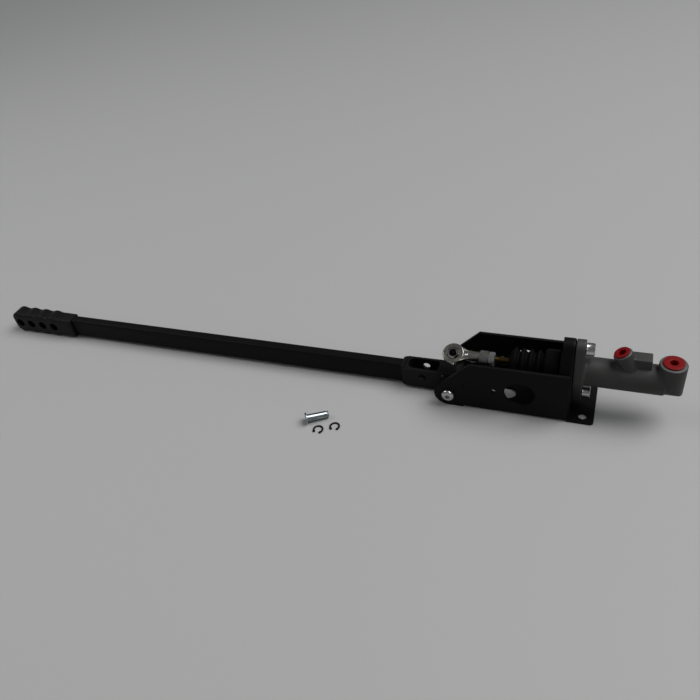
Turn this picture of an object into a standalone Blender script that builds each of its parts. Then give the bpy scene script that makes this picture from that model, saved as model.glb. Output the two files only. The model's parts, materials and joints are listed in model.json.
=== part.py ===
"""Hydraulic parking brake lever: a long hand lever with a scalloped grip, in a folded channel
bracket that carries a piston master cylinder on its end plate.

The lever lies down, as it is shipped. Its clevis pin is not fitted yet: the pin and its two
snap clips lie on the bench beside it, and the rod end hangs free above the lever block.

Metres, +Z up. The origin is on the underside of the base, midway between the two rear
mounting holes. The lever points to -X and the master cylinder to +X.
"""

from math import acos, asin, atan2, cos, hypot, pi, radians, sin, sqrt, tan

import bmesh
import bpy
from mathutils import Matrix, Vector

# Clearances shared by all pieces
SEAT = 0.0003
PIN_PLAY = 0.00015
CUT_OVER = 0.001
MERGE = 0.000002

# Folded sheet bracket
SHEET = 0.003
BRACKET_WIDTH = 0.0557
WALL_HEIGHT = 0.0608
SLOPE_ANGLE = radians(45)
WALL_TO_HOLES = 0.0155
BASE_OVERHANG = 0.011
BASE_CORNER_RADIUS = 0.0035
FLOOR_SETBACK = 0.016
MOUNT_HOLE_RADIUS = 0.0046
MOUNT_HOLE_SPACING = 0.038
FRONT_MOUNT_DISTANCE = 0.085
FLOOR_SLOT_FROM_PIVOT = (0.036, 0.068)
FLOOR_SLOT_HALF = 0.0085
HOLE_ROW_HEIGHT = 0.0292
BIG_HOLE_RADIUS = 0.0156
BIG_HOLE_FROM_PIVOT = 0.0749
SMALL_HOLE_RADIUS = 0.0024
SMALL_HOLES_FROM_PIVOT = (0.0150, 0.0484)

# Pivot
HOLES_TO_PIVOT = 0.138
PIVOT_HEIGHT = 0.0154
PIVOT_THREAD_RADIUS = 0.004
PIVOT_HEAD_RADIUS = 0.007
PIVOT_HEAD_HEIGHT = 0.0044
PIVOT_HEAD_CROWN = 0.0038
PIVOT_HEAD_EDGE = 0.0013
PIVOT_SOCKET_FLATS = 0.005
PIVOT_SOCKET_DEPTH = 0.0026
PIVOT_NUT_FLATS = 0.013
PIVOT_NUT_HEIGHT = 0.0065
PIVOT_THREAD_PAST_NUT = 0.002
PIVOT_WASHER_RADIUS = 0.008
PIVOT_WASHER_THICKNESS = 0.0016
SPACER_RADIUS = 0.008
BUSH_WALL = 0.0018

# Lever block and bar
BLOCK_WIDTH = 0.022
BLOCK_HEIGHT = 0.026
BLOCK_REACH = 0.0540
BLOCK_EDGE = 0.0008
PIN_HOLE_LIFT = 0.003
SLOT_SIDE_ROOM = 0.0022
SLOT_SWING_ROOM = 0.0053
SLOT_FAR_ROOM = 0.0064
SLOT_BOTTOM_ROOM = 0.0008
SLOT_NEAR_CORNER = 0.004
SLOT_FAR_CORNER = 0.007
SET_SCREW_RADIUS = 0.003
SET_SCREW_LENGTH = 0.0055
SET_SCREW_DEEP = 0.0012
SET_SCREW_SOCKET_FLATS = 0.003
SET_SCREW_BACK = 0.0083
SET_SCREW_LIFT = 0.0073
BAR_WIDTH = 0.012
BAR_HEIGHT = 0.0255
BAR_EDGE_RADIUS = 0.002
WELD_LEG = 0.0032
WELD_RISE = 0.0012
WELD_LENGTH = 0.0042

# Grip
LEVER_LENGTH = 0.626
GRIP_LENGTH = 0.1024
GRIP_WIDTH = 0.0195
GRIP_CREST = 0.0152
GRIP_DIP = 0.0022
GRIP_PITCH = 0.0197
GRIP_CRESTS = 4
GRIP_FIRST_CREST = 0.0106
GRIP_HOLE_RADIUS = 0.006
GRIP_EDGE = 0.0022
GRIP_NOSE_RADIUS = 0.0096
TONGUE_LENGTH = 0.020
TONGUE_INSET = 0.0028

# Master cylinder
AXIS_HEIGHT = 0.0485
PLATE_PROUD = 0.002
PLATE_THICKNESS = 0.012
PLATE_SHOULDER = 0.047
PLATE_EAR_RADIUS = 0.0096
PLATE_EDGE_RADIUS = 0.0022
FLANGE_THICKNESS = 0.009
FLANGE_BOLT_SPACING = 0.05715
FLANGE_END_RADIUS = 0.0094
FLANGE_MIDDLE_RADIUS = 0.0185
FLANGE_EDGE = 0.001
FLANGE_FILLET = 0.0018
NOSE_RADIUS = 0.015
NOSE_LENGTH = 0.027
NOSE_CHAMFER = 0.001
BARREL_RADIUS = 0.015
BARREL_LENGTH = 0.0832
TAIL_RADIUS = 0.0136
TAIL_LENGTH = 0.0182
TAIL_EDGE_RADIUS = 0.003
BORE_RADIUS = 0.0095
BORE_END_WALL = 0.010
OUTLET_BOSS_RADIUS = 0.0128
OUTLET_BOSS_HEIGHT = 0.0225
OUTLET_PLUG_RADIUS = 0.0098
OUTLET_DRILL_RADIUS = 0.003
INLET_BOSS_RADIUS = 0.0092
INLET_BOSS_LENGTH = 0.0318
INLET_LEAN = radians(27)
INLET_BEFORE_END = 0.0267
INLET_PLUG_RADIUS = 0.0077
INLET_DRILL_RADIUS = 0.0015
BOSS_CHAMFER = 0.0006
PAD_LENGTH = 0.019
PAD_WIDTH = 0.0132
PAD_FROM_AXIS = 0.0021
PAD_HEIGHT = 0.0255
PAD_BEFORE_END = 0.0324
PAD_CORNER_RADIUS = 0.002
PLUG_STEM_RADIUS = 0.005
PLUG_DEPTH = 0.006
PLUG_RIM_HEIGHT = 0.0014
PLUG_WALL = 0.0012

# Flange bolts
BOLT_RADIUS = 0.004
BOLT_LENGTH = 0.020
BOLT_HEAD_RADIUS = 0.0065
BOLT_HEAD_HEIGHT = 0.008
BOLT_HEAD_EDGE = 0.0008
BOLT_SOCKET_FLATS = 0.006
BOLT_SOCKET_DEPTH = 0.004

# Piston and what works with it
PISTON_LENGTH = 0.070
PISTON_WAIST_RADIUS = 0.0058
LAND_LENGTH = 0.003
SEAL_GROOVE_WIDTH = 0.0044
SEAL_GROOVE_RADIUS = 0.0066
SEAL_LIP = 0.0008
SPRING_NUB_LENGTH = 0.004
SPRING_WIRE_RADIUS = 0.0007
SPRING_COIL_RADIUS = 0.0070
SPRING_TURNS = 7
CIRCLIP_THICKNESS = 0.0012
CIRCLIP_DEPTH = 0.0009
CIRCLIP_BAND = 0.0020
CIRCLIP_INSET = 0.0018
CIRCLIP_HALF_GAP = radians(24)
CIRCLIP_EAR_RADIUS = 0.0014
STOP_WASHER_THICKNESS = 0.0014

# Pushrod and rod end
ROD_RADIUS = 0.004
ROD_CHAMFER = 0.0006
ROD_SHOULDER_RADIUS = 0.0064
ROD_SHOULDER_LENGTH = 0.003
ROD_TIP_LENGTH = 0.002
EYE_AHEAD_OF_PIVOT = 0.001
ROD_END_ROLL = radians(66)
EYE_RADIUS = 0.0116
EYE_THICKNESS = 0.0086
EYE_CHAMFER = 0.0007
BALL_RADIUS = 0.0078
BALL_WIDTH = 0.0116
RACE_WALL = 0.0008
RACE_WIDTH = 0.0078
ROD_END_LENGTH = 0.0373
ROD_END_NECK_RADIUS = 0.0061
ROD_END_NECK_CONE = 0.005
ROD_END_HEX_FLATS = 0.0138
ROD_END_HEX_LENGTH = 0.0092
ROD_THREAD_DEPTH = 0.018
JAM_NUT_FLATS = 0.013
JAM_NUT_HEIGHT = 0.0065

# Dust boot
BOOT_WALL = 0.0016
BOOT_COLLAR_RADIUS = 0.018
BOOT_COLLAR_LENGTH = 0.0151
BOOT_COLLAR_EDGE = 0.002
BOOT_PLATE_GAP = 0.0017
BOOT_RIDGE_RADIUS = 0.0157
BOOT_VALLEY_RADIUS = 0.0108
BOOT_RIDGES = 4
BOOT_PITCH = 0.008
BOOT_FIRST_RIDGE = 0.0060
BOOT_LIP_RADIUS = 0.0066
BOOT_LIP_LENGTH = 0.0024

# Clevis pin and snap clips, lying on the bench; places are measured from the pivot
PIN_RADIUS = 0.004
PIN_LENGTH = 0.0245
PIN_HEAD_RADIUS = 0.0063
PIN_HEAD_HEIGHT = 0.0016
PIN_GROOVE_WIDTH = 0.0012
PIN_GROOVE_DEPTH = 0.0008
PIN_GROOVE_INSET = 0.0012
PIN_CHAMFER = 0.0006
PIN_PLACE = (-0.1457, -0.0872)
PIN_TURN = radians(33)
CLIP_RADIUS = 0.0059
CLIP_THICKNESS = 0.0009
CLIP_BAND = 0.0019
CLIP_EAR_RADIUS = 0.0015
CLIP_HALF_GAP = radians(46)
CLIPS = (
    ("clip_a", -0.1286, -0.0944, radians(267)),
    ("clip_b", -0.1123, -0.0863, radians(278)),
)

# Sides of the round pieces
FINE = 28
MEDIUM = 20
COARSE = 16

# Places that follow from the sizes above
PIVOT_X = -HOLES_TO_PIVOT
PIVOT = Vector((PIVOT_X, 0.0, PIVOT_HEIGHT))
HALF_WIDTH = BRACKET_WIDTH / 2
INNER_HALF = HALF_WIDTH - SHEET
FLOOR_FRONT_X = PIVOT_X + FLOOR_SETBACK
WALL_REAR_X = -WALL_TO_HOLES
PLATE_REAR_X = WALL_REAR_X + PLATE_PROUD
PLATE_FRONT_X = PLATE_REAR_X - PLATE_THICKNESS
BOLT_HALF = FLANGE_BOLT_SPACING / 2
BOLT_HOLE_RADIUS = BOLT_RADIUS + SEAT
FLANGE_X = PLATE_REAR_X + SEAT
FLANGE_REAR_X = FLANGE_X + FLANGE_THICKNESS
NOSE_X = FLANGE_X - NOSE_LENGTH
BARREL_END_X = FLANGE_X + BARREL_LENGTH
TAIL_END_X = BARREL_END_X + TAIL_LENGTH
BORE_END_X = TAIL_END_X - BORE_END_WALL
OUTLET_X = TAIL_END_X - OUTLET_BOSS_RADIUS - SEAT
INLET_X = BARREL_END_X - INLET_BEFORE_END
INLET_WAY = Vector((-sin(INLET_LEAN), 0.0, cos(INLET_LEAN)))
PAD_X = BARREL_END_X - PAD_BEFORE_END
PAD_TOP = AXIS_HEIGHT + PAD_HEIGHT
PLUG_SOCKET_RADIUS = PLUG_STEM_RADIUS + SEAT
CYLINDER_AXIS = (0.0, 0.0, AXIS_HEIGHT)
CIRCLIP_X = NOSE_X + CIRCLIP_INSET
STOP_WASHER_X = CIRCLIP_X + CIRCLIP_THICKNESS + SEAT
PISTON_X = STOP_WASHER_X + STOP_WASHER_THICKNESS + SEAT
PISTON_FRONT_X = PISTON_X + PISTON_LENGTH
PISTON_RADIUS = BORE_RADIUS - SEAT
SECONDARY_SEAL_X = PISTON_X + ROD_SHOULDER_LENGTH + SEAT + LAND_LENGTH
PRIMARY_SEAL_X = PISTON_FRONT_X - LAND_LENGTH - SEAL_GROOVE_WIDTH
ROD_BORE_RADIUS = ROD_RADIUS + SEAT
ROD_TIP_X = PISTON_X + ROD_SHOULDER_LENGTH + ROD_TIP_LENGTH
EYE = Vector((PIVOT_X + EYE_AHEAD_OF_PIVOT, 0.0, AXIS_HEIGHT))
EYE_BORE_RADIUS = BALL_RADIUS + RACE_WALL + 2 * SEAT
ROD_END_X = EYE.x + ROD_END_LENGTH
JAM_NUT_X = ROD_END_X + SEAT
PIN_BORE_RADIUS = PIN_RADIUS + PIN_PLAY
EYE_FROM_PIVOT = hypot(EYE_AHEAD_OF_PIVOT, AXIS_HEIGHT - PIVOT_HEIGHT)
PIN_REACH = sqrt(EYE_FROM_PIVOT**2 - PIN_HOLE_LIFT**2)
SLOT_HALF = BALL_WIDTH / 2 + SLOT_SIDE_ROOM
SLOT_NEAR = PIN_REACH - EYE_RADIUS - SLOT_SWING_ROOM
SLOT_FAR = PIN_REACH + EYE_RADIUS + SLOT_FAR_ROOM
SLOT_BOTTOM = PIN_HOLE_LIFT - EYE_RADIUS - SLOT_BOTTOM_ROOM
BLOCK_HALF = BLOCK_HEIGHT / 2
BUSH_BORE = PIVOT_THREAD_RADIUS + SEAT
BUSH_RADIUS = BUSH_BORE + BUSH_WALL
BAR_START = BLOCK_REACH + SEAT
GRIP_START = LEVER_LENGTH - GRIP_LENGTH
TONGUE_END = GRIP_START + TONGUE_LENGTH
TONGUE_HALF = BAR_HEIGHT / 2 - TONGUE_INSET
BOOT_END_X = PLATE_FRONT_X - BOOT_PLATE_GAP
BOOT_COLLAR_X = BOOT_END_X - BOOT_COLLAR_LENGTH
BOOT_RIDGE_X = BOOT_COLLAR_X - BOOT_FIRST_RIDGE
BOOT_BELLOWS_X = BOOT_RIDGE_X - (BOOT_RIDGES - 0.5) * BOOT_PITCH

# Base colour, roughness and metallic value of each finish
FINISHES = {
    "black_coat": ((0.012, 0.012, 0.013), 0.42, 0.0),
    "black_machined": ((0.018, 0.018, 0.019), 0.34, 0.0),
    "cast_grey": ((0.055, 0.054, 0.052), 0.5, 0.35),
    "zinc": ((0.62, 0.63, 0.64), 0.28, 1.0),
    "blue_zinc": ((0.42, 0.46, 0.50), 0.3, 1.0),
    "yellow_zinc": ((0.55, 0.36, 0.12), 0.3, 1.0),
    "steel": ((0.45, 0.45, 0.46), 0.35, 1.0),
    "chrome": ((0.75, 0.75, 0.76), 0.08, 1.0),
    "black_steel": ((0.01, 0.01, 0.011), 0.4, 0.2),
    "bronze": ((0.42, 0.27, 0.11), 0.4, 1.0),
    "rubber": ((0.012, 0.012, 0.012), 0.7, 0.0),
    "red_plastic": ((0.40, 0.004, 0.008), 0.45, 0.0),
    "anodised": ((0.35, 0.36, 0.37), 0.4, 1.0),
}


def clear_scene():
    for item in list(bpy.data.objects):
        bpy.data.objects.remove(item, do_unlink=True)


def finish_material(name):
    """The Principled material of a finish, made the first time that it is asked for."""
    found = bpy.data.materials.get(name)
    if found:
        return found
    made = bpy.data.materials.new(name)
    made.use_nodes = True
    shader = made.node_tree.nodes["Principled BSDF"]
    colour, roughness, metallic = FINISHES[name]
    shader.inputs["Base Color"].default_value = (*colour, 1.0)
    shader.inputs["Roughness"].default_value = roughness
    shader.inputs["Metallic"].default_value = metallic
    made.diffuse_color = (*colour, 1.0)
    return made


def object_from(bm, name):
    """Turns a bmesh into an object of the scene, with its faces pointing out."""
    bmesh.ops.remove_doubles(bm, verts=bm.verts, dist=MERGE / 2)
    bmesh.ops.recalc_face_normals(bm, faces=bm.faces)
    mesh = bpy.data.meshes.new(name)
    bm.to_mesh(mesh)
    bm.free()
    made = bpy.data.objects.new(name, mesh)
    bpy.context.scene.collection.objects.link(made)
    return made


def axis_matrix(direction):
    """Turns local +X onto the direction and keeps local +Z as near to world +Z as it can be."""
    along = Vector(direction).normalized()
    side = Vector((0, 0, 1)).cross(along)
    if side.length < MERGE:
        side = Vector((0, 1, 0))
    side.normalize()
    return Matrix((along, side, along.cross(side))).transposed().to_4x4()


def place(item, at, direction=(1, 0, 0)):
    """Moves a piece that was modelled about local +X to its place in the world."""
    item.data.transform(Matrix.Translation(at) @ axis_matrix(direction))
    return item


def lathe(name, profile, steps=COARSE, ring=False):
    """Spins (distance along, radius) points about +X. A ring's profile closes on itself.

    Any other profile starts and ends on the axis.
    """
    bm = bmesh.new()
    points = [bm.verts.new((along, 0.0, radius)) for along, radius in profile]
    pairs = list(zip(points, points[1:]))
    if ring:
        pairs.append((points[-1], points[0]))
    edges = [bm.edges.new(pair) for pair in pairs]
    bmesh.ops.spin(
        bm,
        geom=points + edges,
        cent=(0, 0, 0),
        axis=(1, 0, 0),
        angle=2 * pi,
        steps=steps,
        use_merge=True,
    )
    return object_from(bm, name)


def tube(name, inner, outer, start, end, steps=COARSE):
    return lathe(name, [(start, inner), (end, inner), (end, outer), (start, outer)], steps, ring=True)


def prism(name, outline, start, end, axis="Z", bevel=0.0, steps=2, both_ends=True):
    """Extrudes a flat outline along an axis; its points give the other two coordinates in order.

    A bevel rounds the rim of both end faces, or of the far one alone.
    """
    spots = {
        "X": lambda u, v, w: (w, u, v),
        "Y": lambda u, v, w: (u, w, v),
        "Z": lambda u, v, w: (u, v, w),
    }
    spot = spots[axis]
    bm = bmesh.new()
    face = bm.faces.new([bm.verts.new(spot(u, v, start)) for u, v in outline])
    grown = bmesh.ops.extrude_face_region(bm, geom=[face], use_keep_orig=True)
    moved = [item for item in grown["geom"] if isinstance(item, bmesh.types.BMVert)]
    bmesh.ops.translate(bm, verts=moved, vec=Vector(spot(0, 0, end - start)))
    if bevel:
        ends = [item for item in grown["geom"] if isinstance(item, bmesh.types.BMFace)]
        if both_ends:
            ends.append(face)
        rim = {edge for end_face in ends for edge in end_face.edges}
        bmesh.ops.bevel(
            bm,
            geom=list(rim),
            offset=bevel,
            segments=steps,
            profile=0.5,
            affect="EDGES",
        )
    return object_from(bm, name)


def ring_loft(name, loops):
    """Bridges loops of equally many points, and the last of them to the first."""
    bm = bmesh.new()
    rows = [[bm.verts.new(point) for point in loop] for loop in loops]
    for near, far in zip(rows, rows[1:] + rows[:1]):
        for k, corner in enumerate(near):
            n = (k + 1) % len(near)
            bm.faces.new((corner, near[n], far[n], far[k]))
    return object_from(bm, name)


def capped_loft(name, loops):
    """Bridges loops of equally many points and fills the first and the last of them."""
    bm = bmesh.new()
    rows = [[bm.verts.new(point) for point in loop] for loop in loops]
    for near, far in zip(rows, rows[1:]):
        for k, corner in enumerate(near):
            n = (k + 1) % len(near)
            bm.faces.new((corner, near[n], far[n], far[k]))
    bm.faces.new(rows[0])
    bm.faces.new(rows[-1])
    return object_from(bm, name)


def arc(centre, radius, start, end, steps):
    """Points along an arc, with the points at both of its angles."""
    turns = [start + (end - start) * k / steps for k in range(steps + 1)]
    return [(centre[0] + radius * cos(t), centre[1] + radius * sin(t)) for t in turns]


def circle(centre, radius, steps):
    return arc(centre, radius, 0, 2 * pi, steps)[:-1]


def rectangle(u0, v0, u1, v1):
    return [(u0, v0), (u1, v0), (u1, v1), (u0, v1)]


def mirrored(right):
    """Closes the right half of an outline, from the top down, with its mirror image."""
    return right + [(-u, v) for u, v in reversed(right) if u > 1e-9]


def rounded_box(u0, v0, u1, v1, radii, steps=4):
    """Outline of a rectangle with round corners, whose four radii start at the corner u1, v1."""
    points = []
    for k, (su, sv) in enumerate(((1, 1), (-1, 1), (-1, -1), (1, -1))):
        corner = (u1 if su > 0 else u0, v1 if sv > 0 else v0)
        centre = (corner[0] - su * radii[k], corner[1] - sv * radii[k])
        points += arc(centre, radii[k], k * pi / 2, (k + 1) * pi / 2, steps)
    return points


def corner_waste(corner, su, sv, radius, steps=5):
    """Outline of what a round takes off a square corner. The signs point out of the corner."""
    turn = arc((-radius, -radius), radius, 0, pi / 2, steps)
    points = [(CUT_OVER, CUT_OVER), (CUT_OVER, -radius)] + turn + [(-radius, CUT_OVER)]
    return [(corner[0] + su * u, corner[1] + sv * v) for u, v in points]


def hexagon(flats):
    """Corners of a hexagon from its width across flats."""
    radius = flats / sqrt(3)
    return [(radius * cos(k * pi / 3), radius * sin(k * pi / 3)) for k in range(6)]


def boolean(target, tool, operation):
    """Applies one boolean to the target and removes the tool."""
    change = target.modifiers.new(operation.lower(), "BOOLEAN")
    change.operation = operation
    change.object = tool
    change.solver = "EXACT"
    bpy.context.view_layer.update()
    graph = bpy.context.evaluated_depsgraph_get()
    result = bpy.data.meshes.new_from_object(target.evaluated_get(graph))
    bm = bmesh.new()
    bm.from_mesh(result)
    bmesh.ops.remove_doubles(bm, verts=bm.verts, dist=MERGE)
    bmesh.ops.dissolve_degenerate(bm, edges=bm.edges, dist=MERGE)
    bm.to_mesh(result)
    bm.free()
    target.modifiers.clear()
    target.data = result
    bpy.data.objects.remove(tool, do_unlink=True)
    return target


def cut(target, *tools):
    for tool in tools:
        boolean(target, tool, "DIFFERENCE")
    return target


def cut_together(target, tools):
    """Cuts with tools that don't touch each other, in one go."""
    bm = bmesh.new()
    for tool in tools:
        bm.from_mesh(tool.data)
        bpy.data.objects.remove(tool, do_unlink=True)
    return cut(target, object_from(bm, "tools"))


def fuse(target, *tools):
    for tool in tools:
        boolean(target, tool, "UNION")
    return target


def rod(radius, start, end, at, axis="Y", steps=COARSE):
    """Round cutter between two places along an axis; the point gives the other two coordinates."""
    return prism("rod", circle(at, radius, steps), start, end, axis)


def drill(target, radius, start, end, at, axis="Y", steps=COARSE):
    return cut(target, rod(radius, start, end, at, axis, steps))


def complete(item, finish, crease=32):
    """Gives a piece its finish and smooth shading, with creases kept sharp."""
    item.data.materials.clear()
    item.data.materials.append(finish_material(finish))
    item.data.shade_smooth()
    item.data.set_sharp_from_angle(angle=radians(crease))
    return item


def chamfered_hex(name, flats, start, end):
    """Hexagonal prism along +X whose corners are turned off at 30 degrees, as on nuts."""
    corner = flats / sqrt(3)
    trim = (corner - flats / 2) * tan(radians(30))
    past = flats / 2 - CUT_OVER * tan(radians(60))
    turned = [
        (start - CUT_OVER, 0.0),
        (start - CUT_OVER, past),
        (start + trim, corner),
        (end - trim, corner),
        (end + CUT_OVER, past),
        (end + CUT_OVER, 0.0),
    ]
    blank = prism(name, hexagon(flats), start, end, "X")
    return boolean(blank, lathe("turned", turned, MEDIUM), "INTERSECT")


def make_base_bracket():
    """Folded channel: a floor with two upright walls, run out behind them as a flat mounting tail."""
    over = WALL_HEIGHT + CUT_OVER
    front = PIVOT_X - WALL_HEIGHT
    section = [
        (HALF_WIDTH, WALL_HEIGHT),
        (HALF_WIDTH, 0.0),
        (-HALF_WIDTH, 0.0),
        (-HALF_WIDTH, WALL_HEIGHT),
        (-INNER_HALF, WALL_HEIGHT),
        (-INNER_HALF, SHEET),
        (INNER_HALF, SHEET),
        (INNER_HALF, WALL_HEIGHT),
    ]
    bracket = prism("base_bracket", section, front, BASE_OVERHANG, "X")

    # Side silhouette: level top, low tail, and a nose round the pivot that runs into a sloped edge
    nose = arc((PIVOT_X, PIVOT_HEIGHT), PIVOT_HEIGHT, 3 * pi / 2, pi / 2 + SLOPE_ANGLE, 14)
    touch_x, touch_z = nose[-1]
    slope_top = (touch_x + (over - touch_z) / tan(SLOPE_ANGLE), over)
    tail = BASE_OVERHANG + CUT_OVER
    rest = [(WALL_REAR_X, over), (WALL_REAR_X, SHEET), (tail, SHEET), (tail, -CUT_OVER)]
    silhouette = [slope_top] + rest + [(PIVOT_X, -CUT_OVER)] + nose
    boolean(bracket, prism("side", silhouette, -BRACKET_WIDTH, BRACKET_WIDTH, "Y"), "INTERSECT")

    # The floor stops short of the pivot, so that the heel of the lever swings clear of it
    mouth = rectangle(front, -INNER_HALF, FLOOR_FRONT_X, INNER_HALF)
    cut(bracket, prism("mouth", mouth, -CUT_OVER, SHEET + CUT_OVER))

    # Outside of the two bends, along the floor only, and the round corners of the tail
    for side in (-1, 1):
        bend = corner_waste((side * HALF_WIDTH, 0.0), side, -1, SHEET)
        cut(bracket, prism("bend", bend, FLOOR_FRONT_X, WALL_REAR_X, "X"))
        corner = corner_waste((BASE_OVERHANG, side * HALF_WIDTH), 1, side, BASE_CORNER_RADIUS)
        cut(bracket, prism("corner", corner, -CUT_OVER, SHEET + CUT_OVER))

    walls = (-HALF_WIDTH - CUT_OVER, HALF_WIDTH + CUT_OVER)
    big_hole = (PIVOT_X + BIG_HOLE_FROM_PIVOT, HOLE_ROW_HEIGHT)
    holes = [
        rod(PIVOT_THREAD_RADIUS + SEAT, *walls, (PIVOT_X, PIVOT_HEIGHT)),
        rod(BIG_HOLE_RADIUS, *walls, big_hole, steps=FINE),
    ]
    for reach in SMALL_HOLES_FROM_PIVOT:
        holes.append(rod(SMALL_HOLE_RADIUS, *walls, (PIVOT_X + reach, HOLE_ROW_HEIGHT)))
    cut_together(bracket, holes)
    floor = (-CUT_OVER, SHEET + CUT_OVER)
    columns = (0.0, -FRONT_MOUNT_DISTANCE)
    rows = (-MOUNT_HOLE_SPACING / 2, MOUNT_HOLE_SPACING / 2)
    cut_together(bracket, [rod(MOUNT_HOLE_RADIUS, *floor, (x, y), "Z") for x in columns for y in rows])
    near, far = (PIVOT_X + reach for reach in FLOOR_SLOT_FROM_PIVOT)
    slot = rounded_box(near, -FLOOR_SLOT_HALF, far, FLOOR_SLOT_HALF, [FLOOR_SLOT_HALF] * 4)
    cut(bracket, prism("slot", slot, *floor))
    return complete(bracket, "black_coat", 20)


def make_end_plate():
    """Thick plate between the walls that the master cylinder bolts to, tapering to an upper ear."""
    half = INNER_HALF - SEAT
    ear = (0.0, AXIS_HEIGHT + BOLT_HALF)
    drop = ear[1] - PLATE_SHOULDER
    touch = -atan2(drop, half) + acos(PLATE_EAR_RADIUS / hypot(half, drop))
    right = arc(ear, PLATE_EAR_RADIUS, pi / 2, touch, 10)
    right += [(half, PLATE_SHOULDER), (half, SHEET + SEAT)]
    plate = prism(
        "end_plate",
        mirrored(right),
        PLATE_FRONT_X,
        PLATE_REAR_X,
        "X",
        bevel=PLATE_EDGE_RADIUS,
        steps=3,
        both_ends=False,
    )
    ends = (PLATE_FRONT_X - CUT_OVER, PLATE_REAR_X + CUT_OVER)
    drill(plate, NOSE_RADIUS + SEAT, *ends, (0.0, AXIS_HEIGHT), "X", FINE)
    for z in (AXIS_HEIGHT - BOLT_HALF, AXIS_HEIGHT + BOLT_HALF):
        drill(plate, BOLT_HOLE_RADIUS, *ends, (0.0, z), "X")
    return complete(plate, "black_coat")


def flange_outline():
    """Band round three circles in an upright row: an ear, the barrel and the other ear."""
    lean = asin((FLANGE_MIDDLE_RADIUS - FLANGE_END_RADIUS) / BOLT_HALF)
    right = arc((0.0, AXIS_HEIGHT + BOLT_HALF), FLANGE_END_RADIUS, pi / 2, lean, 8)
    right += arc((0.0, AXIS_HEIGHT), FLANGE_MIDDLE_RADIUS, lean, -lean, 4)
    right += arc((0.0, AXIS_HEIGHT - BOLT_HALF), FLANGE_END_RADIUS, -lean, -pi / 2, 8)
    return mirrored(right)


def boss(radius, height, steps=FINE):
    """Turned boss along +X with a chamfered rim."""
    profile = [
        (0.0, 0.0),
        (0.0, radius),
        (height - BOSS_CHAMFER, radius),
        (height, radius - BOSS_CHAMFER),
        (height, 0.0),
    ]
    return lathe("boss", profile, steps)


def port(top, drill_radius):
    """Cutter of a port along +X: a drilling up from the bore and the socket of its plug."""
    floor = top - PLUG_DEPTH - SEAT
    profile = [
        (0.0, 0.0),
        (0.0, drill_radius),
        (floor, drill_radius),
        (floor, PLUG_SOCKET_RADIUS),
        (top + CUT_OVER, PLUG_SOCKET_RADIUS),
        (top + CUT_OVER, 0.0),
    ]
    return lathe("port", profile, COARSE)


def make_cylinder_body():
    """Cast master cylinder: flange, nose, barrel, inlet boss with its pad, outlet boss and bore."""
    flange_middle = FLANGE_X + FLANGE_THICKNESS / 2
    profile = [
        (NOSE_X, 0.0),
        (NOSE_X, NOSE_RADIUS - NOSE_CHAMFER),
        (NOSE_X + NOSE_CHAMFER, NOSE_RADIUS),
        (flange_middle, NOSE_RADIUS),
        (flange_middle, BARREL_RADIUS + FLANGE_FILLET),
        (FLANGE_REAR_X - CUT_OVER, BARREL_RADIUS + FLANGE_FILLET),
    ]
    fillet = (FLANGE_REAR_X + FLANGE_FILLET, BARREL_RADIUS + FLANGE_FILLET)
    profile += arc(fillet, FLANGE_FILLET, pi, 3 * pi / 2, 2)[1:]
    profile += [
        (BARREL_END_X, BARREL_RADIUS),
        (BARREL_END_X + abs(BARREL_RADIUS - TAIL_RADIUS), TAIL_RADIUS),
    ]
    edge = (TAIL_END_X - TAIL_EDGE_RADIUS, TAIL_RADIUS - TAIL_EDGE_RADIUS)
    profile += arc(edge, TAIL_EDGE_RADIUS, pi / 2, 0, 4) + [(TAIL_END_X, 0.0)]
    body = place(lathe("cylinder_body", profile, FINE), CYLINDER_AXIS)

    flange = prism(
        "flange",
        flange_outline(),
        FLANGE_X,
        FLANGE_REAR_X,
        "X",
        bevel=FLANGE_EDGE,
        both_ends=False,
    )
    outlet_at = (OUTLET_X, 0.0, AXIS_HEIGHT)
    inlet_at = (INLET_X, 0.0, AXIS_HEIGHT)
    pad_sides = (PAD_FROM_AXIS - PAD_WIDTH / 2, PAD_FROM_AXIS + PAD_WIDTH / 2)
    pad = rounded_box(PAD_X, pad_sides[0], PAD_X + PAD_LENGTH, pad_sides[1], [PAD_CORNER_RADIUS] * 4)
    fuse(
        body,
        flange,
        place(boss(OUTLET_BOSS_RADIUS, OUTLET_BOSS_HEIGHT), outlet_at, (0, 0, 1)),
        prism("pad", pad, AXIS_HEIGHT, PAD_TOP, bevel=BOSS_CHAMFER, steps=1, both_ends=False),
        place(boss(INLET_BOSS_RADIUS, INLET_BOSS_LENGTH, MEDIUM), inlet_at, INLET_WAY),
    )

    groove = (CIRCLIP_X - SEAT, CIRCLIP_X + CIRCLIP_THICKNESS + SEAT)
    groove_radius = BORE_RADIUS + CIRCLIP_DEPTH
    bore = [
        (NOSE_X - CUT_OVER, 0.0),
        (NOSE_X - CUT_OVER, BORE_RADIUS),
        (groove[0], BORE_RADIUS),
        (groove[0], groove_radius),
        (groove[1], groove_radius),
        (groove[1], BORE_RADIUS),
        (BORE_END_X, BORE_RADIUS),
        (BORE_END_X, 0.0),
    ]
    cut(
        body,
        place(lathe("bore", bore, FINE), CYLINDER_AXIS),
        place(port(OUTLET_BOSS_HEIGHT, OUTLET_DRILL_RADIUS), outlet_at, (0, 0, 1)),
        place(port(INLET_BOSS_LENGTH, INLET_DRILL_RADIUS), inlet_at, INLET_WAY),
    )
    for z in (AXIS_HEIGHT - BOLT_HALF, AXIS_HEIGHT + BOLT_HALF):
        drill(body, BOLT_HOLE_RADIUS, FLANGE_X - CUT_OVER, FLANGE_REAR_X + CUT_OVER, (0.0, z), "X")
    return complete(body, "cast_grey")


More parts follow.
